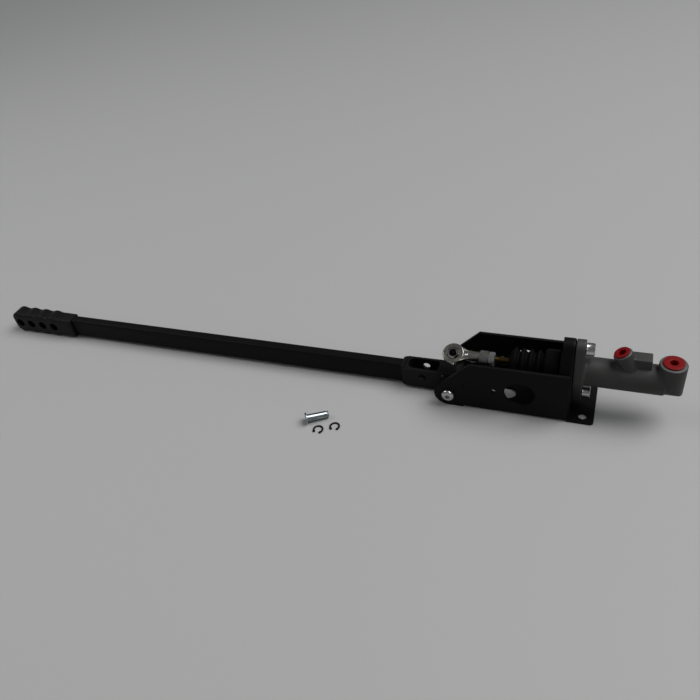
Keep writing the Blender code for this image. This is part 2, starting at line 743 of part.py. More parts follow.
def make_plug(name, radius, boss_x, boss_length, way):
    """Shipping plug of a port: a hollow stem under a flat rim."""
    profile = [
        (-PLUG_DEPTH, 0.0),
        (-PLUG_DEPTH, PLUG_STEM_RADIUS),
        (SEAT, PLUG_STEM_RADIUS),
        (SEAT, radius),
        (SEAT + PLUG_RIM_HEIGHT, radius),
        (SEAT + PLUG_RIM_HEIGHT, PLUG_STEM_RADIUS - PLUG_WALL),
        (PLUG_WALL - PLUG_DEPTH, PLUG_STEM_RADIUS - PLUG_WALL),
        (PLUG_WALL - PLUG_DEPTH, 0.0),
    ]
    at = Vector((boss_x, 0.0, AXIS_HEIGHT)) + Vector(way) * boss_length
    return complete(place(lathe(name, profile), at, way), "red_plastic")


def make_flange_bolt(name, z):
    """Socket head bolt that holds the cylinder's flange to the end plate."""
    head = FLANGE_REAR_X + SEAT
    top = head + BOLT_HEAD_HEIGHT
    tip = head - BOLT_LENGTH
    profile = [
        (tip, 0.0),
        (tip, BOLT_RADIUS - BOLT_HEAD_EDGE),
        (tip + BOLT_HEAD_EDGE, BOLT_RADIUS),
        (head, BOLT_RADIUS),
        (head, BOLT_HEAD_RADIUS),
        (top - BOLT_HEAD_EDGE, BOLT_HEAD_RADIUS),
        (top, BOLT_HEAD_RADIUS - BOLT_HEAD_EDGE),
        (top, 0.0),
    ]
    bolt = lathe(name, profile)
    cut(bolt, prism("socket", hexagon(BOLT_SOCKET_FLATS), top - BOLT_SOCKET_DEPTH, top + CUT_OVER, "X"))
    return complete(place(bolt, (0.0, 0.0, z)), "zinc")


def make_piston():
    """Turned piston: socket for the pushrod, two seal grooves, a waist and a spring nub."""

    def dip(start, end, radius):
        return [(start, PISTON_RADIUS), (start, radius), (end, radius), (end, PISTON_RADIUS)]

    cup = PISTON_X + ROD_SHOULDER_LENGTH + SEAT
    secondary_end = SECONDARY_SEAL_X + SEAL_GROOVE_WIDTH
    primary_end = PRIMARY_SEAL_X + SEAL_GROOVE_WIDTH
    nub = SPRING_COIL_RADIUS - SPRING_WIRE_RADIUS - SEAT
    profile = arc((ROD_TIP_X, 0.0), ROD_BORE_RADIUS, 0, pi / 2, 5)
    profile += [
        (cup, ROD_BORE_RADIUS),
        (cup, ROD_SHOULDER_RADIUS + SEAT),
        (PISTON_X, ROD_SHOULDER_RADIUS + SEAT),
        (PISTON_X, PISTON_RADIUS),
    ]
    profile += dip(SECONDARY_SEAL_X, secondary_end, SEAL_GROOVE_RADIUS)
    profile += dip(secondary_end + LAND_LENGTH, PRIMARY_SEAL_X - LAND_LENGTH, PISTON_WAIST_RADIUS)
    profile += dip(PRIMARY_SEAL_X, primary_end, SEAL_GROOVE_RADIUS)
    profile += [
        (PISTON_FRONT_X, PISTON_RADIUS),
        (PISTON_FRONT_X, nub),
        (PISTON_FRONT_X + SPRING_NUB_LENGTH, nub),
        (PISTON_FRONT_X + SPRING_NUB_LENGTH, 0.0),
    ]
    return complete(place(lathe("piston", profile), CYLINDER_AXIS), "anodised")


def make_seal(name, groove_start):
    """Cup seal in a piston groove, with its open side towards the front."""
    back = groove_start + SEAT / 2
    front = groove_start + SEAL_GROOVE_WIDTH - SEAT / 2
    inner = SEAL_GROOVE_RADIUS + SEAT / 2
    outer = BORE_RADIUS - SEAT / 2
    profile = [
        (back, inner),
        (back, outer - SEAT),
        (front, outer),
        (front, outer - SEAL_LIP),
        ((back + front) / 2, (inner + outer) / 2),
        (front, inner + SEAL_LIP),
        (front, inner),
    ]
    return complete(place(lathe(name, profile, ring=True), CYLINDER_AXIS), "rubber")


def make_return_spring():
    """Coil spring between the piston and the end of the bore, with one closed turn at each end."""
    start = PISTON_FRONT_X + SEAT + SPRING_WIRE_RADIUS
    end = BORE_END_X - SEAT - SPRING_WIRE_RADIUS
    closed = 2 * SPRING_WIRE_RADIUS + SEAT
    open_turns = SPRING_TURNS - 2
    pitch = (end - start - 2 * closed) / open_turns
    per_turn = 14
    sides = 6

    def wire_loop(turns):
        x = start + closed * min(turns, 1) + pitch * min(max(turns - 1, 0), open_turns)
        x += closed * max(turns - 1 - open_turns, 0)
        way = Vector((0.0, cos(2 * pi * turns), sin(2 * pi * turns)))
        middle = Vector((x, 0.0, AXIS_HEIGHT)) + way * SPRING_COIL_RADIUS
        along = Vector((1, 0, 0))
        angles = [2 * pi * (j + 0.5) / sides for j in range(sides)]
        return [middle + SPRING_WIRE_RADIUS * (way * cos(t) + along * sin(t)) for t in angles]

    loops = [wire_loop(k / per_turn) for k in range(SPRING_TURNS * per_turn + 1)]
    return complete(capped_loft("return_spring", loops), "steel")


def snap_ring(name, radius, band, thickness, ear_radius, half_gap, steps):
    """Open ring about +X with its gap at +Y, whose ends swell into round ears."""
    middle = radius - band / 2
    outline = arc((0, 0), radius, half_gap, 2 * pi - half_gap, steps)
    outline += arc((0, 0), radius - band, 2 * pi - half_gap, half_gap, steps)
    ring = prism(name, outline, 0.0, thickness, "X")
    for side in (-1, 1):
        ear = (middle * cos(half_gap), side * middle * sin(half_gap))
        fuse(ring, prism("ear", circle(ear, ear_radius, 10), 0.0, thickness, "X"))
    return ring


def make_circlip():
    """Internal circlip that keeps the stop washer and the piston in the bore."""
    middle = BORE_RADIUS + CIRCLIP_DEPTH - CIRCLIP_EAR_RADIUS - SEAT
    clip = snap_ring(
        "circlip",
        middle + CIRCLIP_BAND / 2,
        CIRCLIP_BAND,
        CIRCLIP_THICKNESS,
        CIRCLIP_EAR_RADIUS,
        CIRCLIP_HALF_GAP,
        24,
    )
    return complete(place(clip, (CIRCLIP_X, 0.0, AXIS_HEIGHT)), "black_steel")


def make_retaining_washer():
    """Stop washer between the circlip and the shoulder of the pushrod."""
    end = STOP_WASHER_X + STOP_WASHER_THICKNESS
    washer = tube("retaining_washer", ROD_RADIUS + 2 * SEAT, BORE_RADIUS - SEAT, STOP_WASHER_X, end)
    return complete(place(washer, CYLINDER_AXIS), "steel")


def make_pushrod():
    """Pushrod: threaded into the rod end, with a shoulder and a ball tip inside the piston."""
    start = ROD_END_X - ROD_THREAD_DEPTH + SEAT
    shoulder = PISTON_X + ROD_SHOULDER_LENGTH
    profile = [
        (start, 0.0),
        (start, ROD_RADIUS - ROD_CHAMFER),
        (start + ROD_CHAMFER, ROD_RADIUS),
        (PISTON_X, ROD_RADIUS),
        (PISTON_X, ROD_SHOULDER_RADIUS),
        (shoulder, ROD_SHOULDER_RADIUS),
        (shoulder, ROD_RADIUS),
    ]
    profile += arc((ROD_TIP_X, 0.0), ROD_RADIUS, pi / 2, 0, 5)
    return complete(place(lathe("pushrod", profile), CYLINDER_AXIS), "yellow_zinc")


def make_jam_nut():
    """Nut that locks the rod end on the pushrod."""
    end = JAM_NUT_X + JAM_NUT_HEIGHT
    nut = chamfered_hex("jam_nut", JAM_NUT_FLATS, JAM_NUT_X, end)
    drill(nut, ROD_BORE_RADIUS, JAM_NUT_X - CUT_OVER, end + CUT_OVER, (0.0, 0.0), "X")
    return complete(place(nut, CYLINDER_AXIS), "zinc")


def make_rod_end_housing():
    """Rod end: an eye with a conical neck, a round shank and a hexagon where the rod screws in."""
    half = EYE_THICKNESS / 2
    eye = [
        (-half, 0.0),
        (-half, EYE_RADIUS - EYE_CHAMFER),
        (EYE_CHAMFER - half, EYE_RADIUS),
        (half - EYE_CHAMFER, EYE_RADIUS),
        (half, EYE_RADIUS - EYE_CHAMFER),
        (half, 0.0),
    ]
    housing = place(lathe("rod_end_housing", eye, FINE), EYE, (0, 1, 0))
    hex_x = ROD_END_X - ROD_END_HEX_LENGTH
    neck = [
        (EYE.x, 0.0),
        (EYE.x, half - EYE_CHAMFER),
        (EYE.x + EYE_RADIUS - EYE_CHAMFER, half),
        (EYE.x + EYE_RADIUS + ROD_END_NECK_CONE, ROD_END_NECK_RADIUS),
        (hex_x + CUT_OVER, ROD_END_NECK_RADIUS),
        (hex_x + CUT_OVER, 0.0),
    ]
    hexagon_end = chamfered_hex("hexagon", ROD_END_HEX_FLATS, hex_x, ROD_END_X)
    fuse(housing, place(lathe("neck", neck), CYLINDER_AXIS), place(hexagon_end, CYLINDER_AXIS))
    thread = (ROD_END_X - ROD_THREAD_DEPTH, ROD_END_X + CUT_OVER)
    drill(housing, ROD_BORE_RADIUS, *thread, (0.0, AXIS_HEIGHT), "X")
    sides = (-half - CUT_OVER, half + CUT_OVER)
    drill(housing, EYE_BORE_RADIUS, *sides, (EYE.x, EYE.z), "Y", FINE)
    return complete(housing, "zinc")


def ball_arc(radius, width, steps):
    """Points of a ball's profile between two flat faces, from the far one to the near one."""
    limit = asin(width / 2 / radius)
    return [(u, v) for v, u in arc((0.0, 0.0), radius, limit, -limit, steps)]


def make_rod_end_race():
    """Liner of the eye, hollowed to the ball."""
    half = RACE_WIDTH / 2
    outer = EYE_BORE_RADIUS - SEAT
    profile = ball_arc(BALL_RADIUS + SEAT, RACE_WIDTH, 4) + [(-half, outer), (half, outer)]
    return complete(place(lathe("rod_end_race", profile, FINE, ring=True), EYE, (0, 1, 0)), "steel")


def make_rod_end_ball():
    """Swivel ball with flat faces and the bore for the clevis pin."""
    half = BALL_WIDTH / 2
    profile = ball_arc(BALL_RADIUS, BALL_WIDTH, 8) + [(-half, PIN_BORE_RADIUS), (half, PIN_BORE_RADIUS)]
    return complete(place(lathe("rod_end_ball", profile, FINE, ring=True), EYE, (0, 1, 0)), "chrome")


def boot_skin(x):
    """Outer radius of the boot's bellows at a place along the cylinder's axis."""
    wave = (1 + cos(2 * pi * (x - BOOT_RIDGE_X) / BOOT_PITCH)) / 2
    return BOOT_VALLEY_RADIUS + (BOOT_RIDGE_RADIUS - BOOT_VALLEY_RADIUS) * wave


def make_dust_boot():
    """Rubber bellows from the collar on the cylinder's nose to a lip on the pushrod."""
    step = BOOT_PITCH / 6
    count = int((BOOT_COLLAR_X - BOOT_BELLOWS_X) / step + 0.01)
    outside = [BOOT_BELLOWS_X + step * k for k in range(count + 1)]
    inside = [x for x in outside[::2] if x > BOOT_BELLOWS_X + BOOT_WALL]
    sleeve = NOSE_RADIUS + SEAT
    profile = [
        (BOOT_BELLOWS_X - BOOT_LIP_LENGTH, ROD_BORE_RADIUS),
        (BOOT_BELLOWS_X - BOOT_LIP_LENGTH, BOOT_LIP_RADIUS),
        (BOOT_BELLOWS_X - BOOT_WALL, BOOT_LIP_RADIUS),
    ]
    profile += [(x, boot_skin(x)) for x in outside]
    profile += [(BOOT_COLLAR_X, boot_skin(BOOT_COLLAR_X))]
    corner = BOOT_COLLAR_RADIUS - BOOT_COLLAR_EDGE
    profile += arc((BOOT_COLLAR_X + BOOT_COLLAR_EDGE, corner), BOOT_COLLAR_EDGE, pi, pi / 2, 3)
    profile += arc((BOOT_END_X - BOOT_COLLAR_EDGE, corner), BOOT_COLLAR_EDGE, pi / 2, 0, 3)
    profile += [
        (BOOT_END_X, sleeve),
        (NOSE_X - SEAT, sleeve),
        (NOSE_X - SEAT, boot_skin(BOOT_COLLAR_X) - BOOT_WALL),
    ]
    profile += [(x, boot_skin(x) - BOOT_WALL) for x in reversed(inside)]
    profile += [(BOOT_BELLOWS_X + BOOT_WALL / 2, ROD_BORE_RADIUS)]
    return complete(place(lathe("dust_boot", profile, MEDIUM, ring=True), CYLINDER_AXIS), "rubber", 50)


def make_lever_block():
    """Machined block: pivot bore, a clevis slot open at the top, pin holes and a set screw hole."""
    half = BLOCK_WIDTH / 2
    outline = arc((0.0, 0.0), BLOCK_HALF, -pi / 2, pi / 2, 16)
    outline += [(-BLOCK_REACH, BLOCK_HALF), (-BLOCK_REACH, -BLOCK_HALF)]
    block = prism("lever_block", outline, -half, half, "Y", bevel=BLOCK_EDGE, steps=1)
    radii = [SLOT_NEAR_CORNER, SLOT_FAR_CORNER, SLOT_FAR_CORNER, SLOT_NEAR_CORNER]
    slot = rounded_box(-SLOT_FAR, -SLOT_HALF, -SLOT_NEAR, SLOT_HALF, radii, 6)
    cut(block, prism("slot", slot, SLOT_BOTTOM, BLOCK_HALF + CUT_OVER))
    sides = (-half - CUT_OVER, half + CUT_OVER)
    drill(block, BUSH_RADIUS + SEAT, *sides, (0.0, 0.0), steps=MEDIUM)
    drill(block, PIN_BORE_RADIUS, *sides, (-PIN_REACH, PIN_HOLE_LIFT))
    screw_end = SET_SCREW_DEEP + SET_SCREW_LENGTH + SEAT - half
    screw_at = (-SET_SCREW_BACK, SET_SCREW_LIFT)
    drill(block, SET_SCREW_RADIUS + SEAT, -half - CUT_OVER, screw_end, screw_at)
    return complete(place(block, PIVOT), "black_machined")


def make_set_screw():
    """Headless screw in the near side of the block."""
    screw = prism("set_screw", circle((0.0, 0.0), SET_SCREW_RADIUS, COARSE), 0.0, SET_SCREW_LENGTH, "X")
    socket = prism("socket", hexagon(SET_SCREW_SOCKET_FLATS), -CUT_OVER, SET_SCREW_LENGTH / 2, "X")
    cut(screw, socket)
    at = PIVOT + Vector((-SET_SCREW_BACK, SET_SCREW_DEEP - BLOCK_WIDTH / 2, SET_SCREW_LIFT))
    return complete(place(screw, at, (0, 1, 0)), "zinc")


def make_pivot_bush():
    half = BLOCK_WIDTH / 2
    bush = tube("pivot_bush", BUSH_BORE, BUSH_RADIUS, -half, half)
    return complete(place(bush, PIVOT, (0, 1, 0)), "bronze")


def make_spacer(name, side):
    """Distance tube between the lever block and one wall of the bracket."""
    spacer = tube(name, BUSH_BORE, SPACER_RADIUS, BLOCK_WIDTH / 2 + SEAT, INNER_HALF - SEAT)
    return complete(place(spacer, PIVOT, (0, side, 0)), "zinc")


def make_pivot_bolt():
    """Button head bolt through both walls, with its head on the near side."""
    face = -HALF_WIDTH - SEAT
    tip = HALF_WIDTH + PIVOT_WASHER_THICKNESS + PIVOT_NUT_HEIGHT + PIVOT_THREAD_PAST_NUT + 3 * SEAT
    top = face - PIVOT_HEAD_HEIGHT
    fall = PIVOT_HEAD_HEIGHT - PIVOT_HEAD_EDGE
    spread = PIVOT_HEAD_RADIUS - PIVOT_HEAD_CROWN
    profile = [(top, 0.0)]
    for u, v in arc((0.0, 0.0), 1.0, pi / 2, 0, 5):
        profile.append((top + fall * (1 - v), PIVOT_HEAD_CROWN + spread * u))
    profile += [
        (face, PIVOT_HEAD_RADIUS),
        (face, PIVOT_THREAD_RADIUS),
        (tip - ROD_CHAMFER, PIVOT_THREAD_RADIUS),
        (tip, PIVOT_THREAD_RADIUS - ROD_CHAMFER),
        (tip, 0.0),
    ]
    bolt = lathe("pivot_bolt", profile)
    cut(bolt, prism("socket", hexagon(PIVOT_SOCKET_FLATS), top - CUT_OVER, top + PIVOT_SOCKET_DEPTH, "X"))
    return complete(place(bolt, PIVOT, (0, 1, 0)), "zinc")


def make_pivot_washer():
    start = HALF_WIDTH + SEAT
    washer = tube("pivot_washer", BUSH_BORE, PIVOT_WASHER_RADIUS, start, start + PIVOT_WASHER_THICKNESS)
    return complete(place(washer, PIVOT, (0, 1, 0)), "zinc")


def make_pivot_nut():
    start = HALF_WIDTH + PIVOT_WASHER_THICKNESS + 2 * SEAT
    end = start + PIVOT_NUT_HEIGHT
    nut = chamfered_hex("pivot_nut", PIVOT_NUT_FLATS, start, end)
    drill(nut, BUSH_BORE, start - CUT_OVER, end + CUT_OVER, (0.0, 0.0), "X")
    return complete(place(nut, PIVOT, (0, 1, 0)), "zinc")


def bar_section(let_out_u=0.0, let_out_v=0.0):
    """Cross-section of the lever bar, let out sideways and upwards."""
    half_u = BAR_WIDTH / 2 + let_out_u
    half_v = BAR_HEIGHT / 2 + let_out_v
    return rounded_box(-half_u, -half_v, half_u, half_v, [BAR_EDGE_RADIUS] * 4)


def make_lever_bar():
    """Flat steel bar from the block to the grip, stepped down to a tongue inside the grip."""
    bar = prism("lever_bar", bar_section(), -TONGUE_END, -BAR_START, "X")
    for side in (-1, 1):
        low, high = sorted((side * TONGUE_HALF, side * BAR_HEIGHT))
        waste = rectangle(-BAR_WIDTH, low, BAR_WIDTH, high)
        cut(bar, prism("step", waste, -TONGUE_END - CUT_OVER, SEAT - GRIP_START, "X"))
    return complete(place(bar, PIVOT), "black_coat")


def make_weld_bead():
    """Weld round the bar where it meets the block."""
    loops = []
    for along, out in [(0.0, 0.0)] + arc((0.0, 0.0), 1.0, pi / 2, 0, 3):
        section = bar_section(SEAT + WELD_LEG * out, SEAT + WELD_RISE * out)
        loops.append([(-BAR_START - WELD_LENGTH * along, u, v) for u, v in section])
    return complete(place(ring_loft("weld_bead", loops), PIVOT), "steel")


def grip_outline():
    """Side view of the grip about the lever's axis: finger scallops, a level collar and a round nose."""
    end = -LEVER_LENGTH
    first = end + GRIP_FIRST_CREST
    steps_per_wave = 10
    # From the valley behind the last crest to the first crest
    steps = GRIP_CRESTS * steps_per_wave - steps_per_wave // 2
    top = [(-GRIP_START, GRIP_CREST - GRIP_DIP)]
    for k in range(steps, -1, -1):
        waves = k / steps_per_wave
        dip = GRIP_DIP * (1 - cos(2 * pi * waves)) / 2
        top.append((first + waves * GRIP_PITCH, GRIP_CREST - dip))
    nose = (end + GRIP_NOSE_RADIUS, GRIP_CREST - GRIP_NOSE_RADIUS)
    top += arc(nose, GRIP_NOSE_RADIUS, pi / 2, pi, 6)
    return top + [(x, -z) for x, z in reversed(top)]


def make_grip():
    """Machined hand grip with finger scallops above and below and a row of round holes."""
    half = GRIP_WIDTH / 2
    grip = prism("grip", grip_outline(), -half, half, "Y", bevel=GRIP_EDGE, steps=3)
    sides = (-half - CUT_OVER, half + CUT_OVER)
    first = GRIP_FIRST_CREST - LEVER_LENGTH
    places = [(first + k * GRIP_PITCH, 0.0) for k in range(GRIP_CRESTS)]
    tools = [rod(GRIP_HOLE_RADIUS, *sides, at, steps=MEDIUM) for at in places]
    socket_u = BAR_WIDTH / 2 + SEAT
    socket_v = TONGUE_HALF + SEAT
    socket = rectangle(-socket_u, -socket_v, socket_u, socket_v)
    tools.append(prism("socket", socket, -TONGUE_END - SEAT, CUT_OVER - GRIP_START, "X"))
    cut_together(grip, tools)
    return complete(place(grip, PIVOT), "black_machined")


def make_clevis_pin():
    """Clevis pin with a thin head and a clip groove, lying on the rim of its head and on its tip."""
    tip = PIN_HEAD_HEIGHT + PIN_LENGTH
    groove = tip - PIN_GROOVE_INSET - PIN_GROOVE_WIDTH
    profile = [
        (0.0, 0.0),
        (0.0, PIN_HEAD_RADIUS),
        (PIN_HEAD_HEIGHT, PIN_HEAD_RADIUS),
        (PIN_HEAD_HEIGHT, PIN_RADIUS),
        (groove, PIN_RADIUS),
        (groove, PIN_RADIUS - PIN_GROOVE_DEPTH),
        (groove + PIN_GROOVE_WIDTH, PIN_RADIUS - PIN_GROOVE_DEPTH),
        (groove + PIN_GROOVE_WIDTH, PIN_RADIUS),
        (tip - PIN_CHAMFER, PIN_RADIUS),
        (tip, PIN_RADIUS - PIN_CHAMFER),
        (tip, 0.0),
    ]
    tilt = atan2(PIN_HEAD_RADIUS - PIN_RADIUS, tip - PIN_CHAMFER - PIN_HEAD_HEIGHT)
    way = Vector((cos(PIN_TURN) * cos(tilt), sin(PIN_TURN) * cos(tilt), -sin(tilt)))
    low_edge = PIN_HEAD_RADIUS * cos(tilt) + PIN_HEAD_HEIGHT * sin(tilt)
    at = (PIVOT_X + PIN_PLACE[0], PIN_PLACE[1], low_edge)
    return complete(place(lathe("clevis_pin", profile, MEDIUM), at, way), "blue_zinc")


def make_clip(name, x, y, gap_angle):
    """Snap clip of the clevis pin, lying flat with its gap towards the given angle."""
    clip = snap_ring(name, CLIP_RADIUS, CLIP_BAND, CLIP_THICKNESS, CLIP_EAR_RADIUS, CLIP_HALF_GAP, 22)
    # Laid flat, the ring has its gap at world +Y
    place(clip, (0.0, 0.0, 0.0), (0, 0, 1))
    clip.data.transform(Matrix.Rotation(gap_angle - pi / 2, 4, "Z"))
    clip.data.transform(Matrix.Translation((PIVOT_X + x, y, 0.0)))
    return complete(clip, "black_steel")


def carrier(name, at, pieces, roll=0.0):
    """Empty on a joint's axis that carries the pieces which move with the joint.

    The pieces are modelled upright, and the roll lays them over towards the far side.
    """
    made = bpy.data.objects.new(name, None)
    made.location = at
    made.rotation_euler = (-roll, 0.0, 0.0)
    bpy.context.scene.collection.objects.link(made)
    for piece in pieces:
        piece.parent = made
        piece.matrix_parent_inverse = Matrix.Translation(at).inverted()
    return made


def main():
    clear_scene()
    make_base_bracket()
    make_end_plate()
    make_cylinder_body()
    make_plug("outlet_plug", OUTLET_PLUG_RADIUS, OUTLET_X, OUTLET_BOSS_HEIGHT, (0, 0, 1))
    make_plug("inlet_plug", INLET_PLUG_RADIUS, INLET_X, INLET_BOSS_LENGTH, INLET_WAY)
    make_flange_bolt("flange_bolt_upper", AXIS_HEIGHT + BOLT_HALF)
    make_flange_bolt("flange_bolt_lower", AXIS_HEIGHT - BOLT_HALF)
    make_circlip()
    make_retaining_washer()
    make_return_spring()
    make_dust_boot()
    make_pivot_bolt()
    make_pivot_washer()
    make_pivot_nut()
    make_spacer("spacer_near", -1)
    make_spacer("spacer_far", 1)
    make_clevis_pin()
    for name, x, y, gap_angle in CLIPS:
        make_clip(name, x, y, gap_angle)

    lever = [
        make_lever_block(),
        make_pivot_bush(),
        make_set_screw(),
        make_weld_bead(),
        make_lever_bar(),
        make_grip(),
    ]
    carrier("lever_axis", PIVOT, lever)
    plunger = [
        make_piston(),
        make_seal("primary_seal", PRIMARY_SEAL_X),
        make_seal("secondary_seal", SECONDARY_SEAL_X),
    ]
    carrier("plunger_axis", CYLINDER_AXIS, plunger)
    rod_end = [
        make_pushrod(),
        make_jam_nut(),
        make_rod_end_housing(),
        make_rod_end_race(),
    ]
    carrier("rod_axis", EYE, rod_end, ROD_END_ROLL)
    carrier("ball_axis", EYE, [make_rod_end_ball()], ROD_END_ROLL)


main()
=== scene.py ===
# %% [markdown]
# # A hydraulic parking brake lever, dressed in Blender
#
# The lever comes as a measured model: every piece has its true size and place, but plain
# surfaces. This script gives each piece the look of the real one. It loads the model, sets up
# the camera and the light, and then works through the pieces one group at a time: sheet steel,
# machined blocks, castings, plated fasteners, rubber and plastic.

import json
from math import acos, asin, atan2, cos, degrees, hypot, pi, radians, sin, sqrt, tan

import bmesh
import bpy
from mathutils import Matrix, Vector


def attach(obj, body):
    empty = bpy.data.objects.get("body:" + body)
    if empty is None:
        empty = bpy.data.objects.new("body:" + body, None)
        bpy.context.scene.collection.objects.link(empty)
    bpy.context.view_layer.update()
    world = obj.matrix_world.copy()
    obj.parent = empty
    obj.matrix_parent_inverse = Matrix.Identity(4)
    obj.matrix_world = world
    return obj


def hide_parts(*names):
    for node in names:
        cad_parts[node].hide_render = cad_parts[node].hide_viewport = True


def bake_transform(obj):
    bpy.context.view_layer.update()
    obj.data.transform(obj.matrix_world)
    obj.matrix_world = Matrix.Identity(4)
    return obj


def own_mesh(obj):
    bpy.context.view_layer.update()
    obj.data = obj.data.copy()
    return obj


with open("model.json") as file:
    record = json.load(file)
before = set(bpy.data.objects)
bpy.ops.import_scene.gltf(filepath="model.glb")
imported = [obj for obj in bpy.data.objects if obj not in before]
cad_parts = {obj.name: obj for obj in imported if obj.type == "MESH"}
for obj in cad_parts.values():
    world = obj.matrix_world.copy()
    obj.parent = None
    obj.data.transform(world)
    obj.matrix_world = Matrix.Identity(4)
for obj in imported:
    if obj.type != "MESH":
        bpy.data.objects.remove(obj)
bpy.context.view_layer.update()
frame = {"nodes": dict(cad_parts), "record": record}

# %% [markdown]
# ## Where things are
#
# The model lies with its lever towards -X and its cylinder towards +X. Most of it is built
# about two lines: the pivot, across the bracket, and the cylinder's axis, above it. Their places
# are written once here, in metres, with the eye of the rod end and the small gap that is left
# between pieces that touch.

# %% Lines that the pieces are built about
PIVOT = Vector((-0.138, 0.0, 0.0154))
CYLINDER_HEIGHT = 0.0485
EYE = Vector((-0.137, 0.0, CYLINDER_HEIGHT))
GAP = 0.0003
print("pivot at", PIVOT[:], "and eye at", EYE[:])

# %% [markdown]
# ## Camera
#
# The camera stands in front of the lever, a little to its right, and looks down at about 40
# degrees. It is rolled by about ten degrees, so that the lever runs up to the left. Angles would
# do too, but a camera that was fitted to a picture comes as directions: the three columns of
# its matrix are its right, its up and its back.

# %% Camera
RIGHT = Vector((0.93132, 0.33637, -0.13967))
UP = Vector((-0.12056, 0.64657, 0.75327))
BACK = Vector((0.34368, -0.68469, 0.64271))
CAMERA_PLACE = Vector((0.00987, -0.53419, 0.53660))

camera_data = bpy.data.cameras.new("camera")
camera_data.lens = 35.07
camera_data.sensor_width = 36.0
camera_data.clip_start = 0.01
camera = bpy.data.objects.new("camera", camera_data)
turn = Matrix((RIGHT, UP, BACK)).transposed().to_4x4()
camera.matrix_world = Matrix.Translation(CAMERA_PLACE) @ turn
bpy.context.scene.collection.objects.link(camera)
bpy.context.scene.camera = camera
bpy.context.scene.view_settings.view_transform = "Standard"
print("camera looks along", -BACK)

# %% [markdown]
# ## Floor and light
#
# A plain pale floor under soft lamps, as on a photographer's table. The lamps could be small and
# bright, but dark, glossy metal shows mostly what it reflects, so they are wide, and each one
# draws a long soft highlight. A sun with a very broad disc keeps the floor even out to its edges.

# %% Floor
def stage_material(name, colour, roughness):
    made = bpy.data.materials.new(name)
    made.use_nodes = True
    shader = made.node_tree.nodes["Principled BSDF"]
    shader.inputs["Base Color"].default_value = (*colour, 1.0)
    shader.inputs["Roughness"].default_value = roughness
    shader.inputs["Specular IOR Level"].default_value = 0.25
    return made


bm = bmesh.new()
bmesh.ops.create_grid(bm, x_segments=1, y_segments=1, size=6.0)
bmesh.ops.translate(bm, verts=bm.verts, vec=(0, 0, -0.0002))
floor_mesh = bpy.data.meshes.new("floor")
bm.to_mesh(floor_mesh)
bm.free()
floor = bpy.data.objects.new("floor", floor_mesh)
bpy.context.scene.collection.objects.link(floor)
floor.data.materials.append(stage_material("pale_floor", (0.365, 0.367, 0.362), 0.6))
print("floor:", floor.dimensions.x, "m wide")

# %% Lamps
def soft_lamp(name, place, target, size, power):
    data = bpy.data.lights.new(name, "AREA")
    data.shape = "RECTANGLE"
    data.size, data.size_y = size
    data.energy = power
    lamp = bpy.data.objects.new(name, data)
    lamp.location = place
    lamp.rotation_euler = (Vector(target) - Vector(place)).to_track_quat("-Z", "Y").to_euler()
    bpy.context.scene.collection.objects.link(lamp)


MIDDLE = (-0.25, 0.0, 0.03)
soft_lamp("overhead", (1.1, 0.55, 2.2), MIDDLE, (1.8, 1.8), 34.0)
soft_lamp("window", (-1.7, -0.1, 1.5), MIDDLE, (0.8, 0.8), 8.0)
soft_lamp("fill", (0.9, -1.2, 1.3), MIDDLE, (0.5, 0.5), 2.0)

# %% Daylight and the room's own light
daylight = bpy.data.objects.new("daylight", bpy.data.lights.new("daylight", "SUN"))
daylight.data.energy = 1.3
daylight.data.angle = radians(40)
daylight.rotation_euler = Vector((1.35, 0.55, 2.17)).to_track_quat("Z", "Y").to_euler()
bpy.context.scene.collection.objects.link(daylight)

world = bpy.data.worlds.new("room")
bpy.context.scene.world = world
world.use_nodes = True
room = world.node_tree.nodes["Background"]
room.inputs["Color"].default_value = (0.94, 0.97, 1.0, 1.0)
room.inputs["Strength"].default_value = 0.16

# %% [markdown]
# ## Effects that many finishes share
#
# A real finish is never one flat colour. Three effects are used again and again here: a fine
# grain, a soft mottle, and a paler colour along sharp edges. Each could be copied into every
# material, but as a node group with named inputs it is made once. A group hands back numbers,
# and the material decides what to do with them.

# %% Node group tools
def new_group(name, inputs, outputs):
    """A node group with named sockets: an input is (name, default), an output a name."""
    group = bpy.data.node_groups.new(name, "ShaderNodeTree")
    for label, default in inputs:
        socket = group.interface.new_socket(label, in_out="INPUT", socket_type="NodeSocketFloat")
        socket.default_value = default
    for label in outputs:
        group.interface.new_socket(label, in_out="OUTPUT", socket_type="NodeSocketFloat")
    return group, group.nodes.new("NodeGroupInput"), group.nodes.new("NodeGroupOutput")


def add_math(tree, operation, first, second=None, clamp=False):
    """A Math node fed by sockets or plain numbers, returned by its output."""
    node = tree.nodes.new("ShaderNodeMath")
    node.operation = operation
    node.use_clamp = clamp
    for slot, value in zip(node.inputs, (first, second)):
        if value is None:
            continue
        if isinstance(value, bpy.types.NodeSocket):
            tree.links.new(value, slot)
        else:
            slot.default_value = value
    return node.outputs[0]


def add_noise(tree, vector, scale, detail=3.0, roughness=0.5):
    """A Noise texture on the given coordinates, returned by its output."""
    node = tree.nodes.new("ShaderNodeTexNoise")
    node.inputs["Detail"].default_value = detail
    node.inputs["Roughness"].default_value = roughness
    tree.links.new(vector, node.inputs["Vector"])
    if isinstance(scale, bpy.types.NodeSocket):
        tree.links.new(scale, node.inputs["Scale"])
    else:
        node.inputs["Scale"].default_value = scale
    return node.outputs["Fac"]


